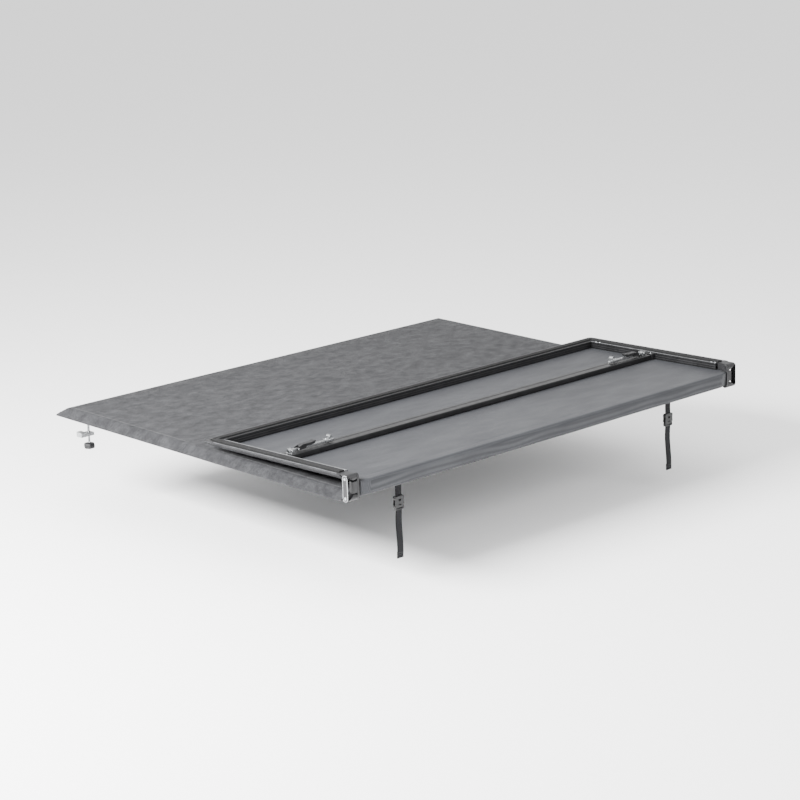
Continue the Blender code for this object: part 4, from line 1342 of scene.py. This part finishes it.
def strap_tail(word, side, x, y, width):
    """Lower half of the webbing, drifting a little as it hangs, with a hemmed and stitched end."""
    body = f"strap_tail_{word}"
    low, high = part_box(body)
    rows = 30
    line = []
    for i in range(rows + 1):
        t = i / rows
        drift = -0.0040 * t * t + 0.0016 * math.sin(2 * math.pi * t)
        line.append(Vector((x + 0.0020 * t * t * side, y + drift, high.z + (low.z - high.z) * t)))
    tail = bmesh.new()
    ribbon(tail, line, width, 0.0016)
    ribbon(tail, [p + Vector((0, 0.0017, 0.0004)) for p in line[-5:]], width - 0.0008, 0.0014)
    hard_piece(f"{body}_woven", tail, "webbing", body, None, [body], 0, 50)
    end, reach = line[-4], width * 0.38
    rows = [
        [(end.x + across, end.y + dy, end.z + dz - 0.004) for across in (-reach, reach)]
        for dy in (-0.0011, 0.0027) for dz in (0.0, 0.0060)
    ]
    seam(f"{body}_stitches", rows, body, None, pitch=0.0026, length=0.0019, radius=0.0003, lift=0.0)


def buckle_socket(word, x, y, half, deep, top, low):
    """Two windowed faces joined by side walls and the bar that the webbing goes round."""
    middle, inside = (top + low) / 2, deep - 0.0017
    outline = filleted(mirrored(x, [
        (half - 0.0022, top), (half, top - 0.0050), (half - 0.0012, middle), (half, low + 0.0014),
        (half - 0.0010, low), (0.0052, low), (0.0040, low + 0.0034),
    ]), 0.0016, 4)
    window = filleted(mirrored(x, [(0.0050, middle + 0.0046), (0.0034, middle - 0.0022)]), 0.0014, 3)
    shell = bmesh.new()
    for face in (-1, 1):
        prism(shell, outline, y + face * deep, y + face * (deep - 0.0019), "y", [window])
    for edge in (-1, 1):
        wall = [
            (x + edge * (half - inset), top - down)
            for inset, down in ((0.0002, 0.0050), (0.0030, 0.0044), (0.0030, 0.0105), (0.0006, 0.0100))
        ]
        prism(shell, wall, y - inside, y + inside, "y")
    bar = filleted(mirrored(x, [(half - 0.0022, top), (half - 0.0028, top - 0.0044)]), 0.0010, 3)
    prism(shell, bar, y - inside, y + inside, "y")
    hard_piece(f"buckle_socket_{word}_shell", shell, "moulding", f"strap_{word}", None,
               [f"buckle_socket_{word}"], 0.0005)


def buckle_plug(word, x, y, half, deep, high):
    """Slotted foot with two sprung prongs and a tongue between them, up inside the socket."""
    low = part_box(f"buckle_plug_{word}")[0].z
    foot = filleted(mirrored(x, [
        (half - 0.0022, low), (half - 0.0010, low + 0.0040),
        (half - 0.0012, high - 0.0016), (half - 0.0028, high),
    ]), 0.0016, 4)
    slot = filleted(rectangle(x - 0.0125, low + 0.0030, x + 0.0125, low + 0.0062), 0.0010, 3)
    plug = bmesh.new()
    prism(plug, foot, y - deep + 0.0008, y + deep - 0.0008, "y", [slot])
    prong = ((0.0078, -0.0010), (0.0128, -0.0010), (0.0120, 0.0060), (0.0141, 0.0100),
             (0.0118, 0.0150), (0.0088, 0.0150))
    for edge in (-1, 1):
        outline = [(x + edge * out, high + up) for out, up in prong]
        prism(plug, filleted(outline, 0.0012, 3), y - 0.0026, y + 0.0026, "y")
    tongue = filleted(mirrored(x, [(0.0042, high - 0.0010), (0.0030, high + 0.0150)]), 0.0012, 3)
    prism(plug, tongue, y - 0.0022, y + 0.0022, "y")
    hard_piece(f"buckle_plug_{word}_prongs", plug, "moulding", f"strap_tail_{word}", None,
               [f"buckle_plug_{word}"], 0.0005)


def strap_loop(word, x, width):
    """A closed loop of webbing round the middle panel's rear bow."""
    low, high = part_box("middle_rear_bow")
    round_bow = rectangle(low.y - 0.0008, low.z - 0.0006, high.y + 0.0008, high.z + 0.0006)
    loop = [Vector((x, a, b)) for a, b in filleted(round_bow, 0.0026, 4)]
    half, deep = width / 2, 0.0004
    lower = [(-half, 0), (-half + deep, -deep), (half - deep, -deep)]
    section = lower + [(-a, -b) for a, b in lower]
    wrap = bmesh.new()
    made = []
    for i, here in enumerate(loop):
        along = (loop[(i + 1) % len(loop)] - loop[i - 1]).normalized()
        out = Vector((0, along.z, -along.y))
        made.append([wrap.verts.new(here + Vector((a, 0, 0)) + out * b) for a, b in section])
    for k, second in enumerate(made):
        first = made[k - 1]
        for i in range(len(section)):
            wrap.faces.new((first[i - 1], first[i], second[i], second[i - 1]))
    hard_piece(f"strap_loop_{word}", wrap, "webbing", "middle_panel", None, (), 0, 50)


def strap(word, side):
    web_low, web_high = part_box(f"strap_web_{word}")
    low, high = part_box(f"buckle_socket_{word}")
    x, y = (web_low.x + web_high.x) / 2, (web_low.y + web_high.y) / 2
    width = web_high.x - web_low.x
    half, deep = (high.x - low.x) / 2, (high.y - low.y) / 2
    strap_web(word, x, y, width)
    strap_tail(word, side, x, y, width)
    buckle_socket(word, x, y, half, deep, high.z, low.z)
    buckle_plug(word, x, y, half, deep, low.z - FIT)
    strap_loop(word, x, width)


for word, side in (("left", -1), ("right", 1)):
    strap(word, side)


# ---------------------------------------------------------------- stitching

def band_line(depth, near, far, side, count=60):
    """A line along a side band, at a depth inside the hem, on top of the cloth."""
    x = side * (HALF_WIDTH - depth)
    ys = [near + (far - near) * i / count for i in range(count + 1)]
    return [(x, y, band_height(depth) - sag(x, y) + 0.0001) for y in ys]


def cross_line(y, half, count=60, lift=0.0001):
    xs = [-half + 2 * half * i / count for i in range(count + 1)]
    return [(x, y, TOP - sag(x, y) + lift) for x in xs]


TOPSTITCH = BAND + 0.0090
for name, body, near, far, matrix in (
    ("front_panel_topstitch", "front_panel", CAB_EDGE - TOPSTITCH, FRONT_FAR, None),
    ("middle_panel_topstitch", "middle_panel", MIDDLE_NEAR, MIDDLE_FAR + 0.004, None),
    ("rear_panel_topstitch", "rear_panel", REAR_NEAR - 0.004, TAIL_EDGE + TOPSTITCH, TURNED_OVER),
):
    rows = [band_line(TOPSTITCH, near, far, side) for side in (-1, 1)]
    if body == "front_panel":
        rows.append(cross_line(CAB_EDGE - TOPSTITCH, HALF_WIDTH - TOPSTITCH))
    if body == "rear_panel":
        rows.append(cross_line(TAIL_EDGE + TOPSTITCH, HALF_WIDTH - TOPSTITCH))
    seam(name, rows, body, matrix)

FLAP_TOP = 0.0013
for name, body, edge, out, matrix in (
    ("middle_fold_flap_stitches", "middle_panel", MIDDLE_FAR, 1, None),
    ("rear_fold_flap_stitches", "rear_panel", REAR_NEAR, -1, TURNED_OVER),
):
    ys = (edge + out * (FLAP_LAP - 0.002), edge + out * 0.0005)
    seam(name, [cross_line(y, RAIL_INNER - 0.010, 80, FLAP_TOP) for y in ys], body, matrix)


# ---------------------------------------------------------------- pieces that keep their CAD shape

DONE = {n for o in bpy.data.objects if "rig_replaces" in o for n in o["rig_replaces"]}
for node in sorted(SLOT_OF):
    if node not in DONE:
        bevelled(node)


# ---------------------------------------------------------------- floor, light and camera

def studio():
    floor_z = CAD_BOX[0].z - 0.06
    mesh = bmesh.new()
    bmesh.ops.create_grid(mesh, x_segments=2, y_segments=2, size=14.0)
    bmesh.ops.translate(mesh, verts=mesh.verts, vec=(0, 0, floor_z))
    data = bpy.data.meshes.new("floor")
    mesh.to_mesh(data)
    mesh.free()
    floor = bpy.data.objects.new("floor", data)
    bpy.context.scene.collection.objects.link(floor)
    pale, tree, shader = new_material("pale_floor")
    shader.inputs["Base Color"].default_value = (0.96, 0.96, 0.96, 1)
    shader.inputs["Roughness"].default_value = 0.9
    data.materials.append(pale)
    world = bpy.data.worlds.new("studio")
    world.use_nodes = True
    world.node_tree.nodes["Background"].inputs["Color"].default_value = (1.0, 1.0, 1.0, 1)
    world.node_tree.nodes["Background"].inputs["Strength"].default_value = 1.5
    bpy.context.scene.world = world


def area_light(name, place, target, size, power):
    light = bpy.data.lights.new(name, "AREA")
    light.shape = "RECTANGLE"
    light.size, light.size_y = size
    light.energy = power
    lamp = bpy.data.objects.new(name, light)
    bpy.context.scene.collection.objects.link(lamp)
    lamp.location = place
    lamp.rotation_mode = "QUATERNION"
    lamp.rotation_quaternion = (Vector(target) - Vector(place)).to_track_quat("-Z", "Y")
    return lamp


EYE = Vector((-5.0898, -6.1336, 2.0194))   # where a fit to the photo puts the camera
ROLL_TURN = -0.02417    # the photo leans by this much
SENSOR = 36
FOCAL = 1306.25 / 800 * SENSOR             # the same fit, for a picture 800 wide
CLOSER = 1.85                              # longer lens than the photo's, to fill the picture


def camera():
    made = bpy.data.cameras.new("camera")
    made.sensor_width = SENSOR
    made.lens = FOCAL * CLOSER
    made.clip_end = 100
    eye = bpy.data.objects.new("camera", made)
    bpy.context.scene.collection.objects.link(eye)
    eye.location = EYE
    low, high = CAD_BOX
    centre = (low + high) / 2
    centre.z = TOP * 0.2
    forward = (centre - EYE).normalized()
    eye.rotation_mode = "QUATERNION"
    upright = forward.to_track_quat("-Z", "Y")
    eye.rotation_quaternion = upright @ Matrix.Rotation(ROLL_TURN, 3, "Z").to_quaternion()
    bpy.context.scene.camera = eye


studio()
area_light("sky", (-0.6, -0.2, 4.2), (0, -0.7, 0), (5.0, 4.0), 90)
area_light("left_softbox", (-3.7, -0.5, 2.3), (0, -0.7, 0), (2.8, 1.0), 980)
area_light("rear_softbox", (0.2, -4.5, 2.2), (0, -0.8, 0), (3.0, 1.4), 110)
camera()
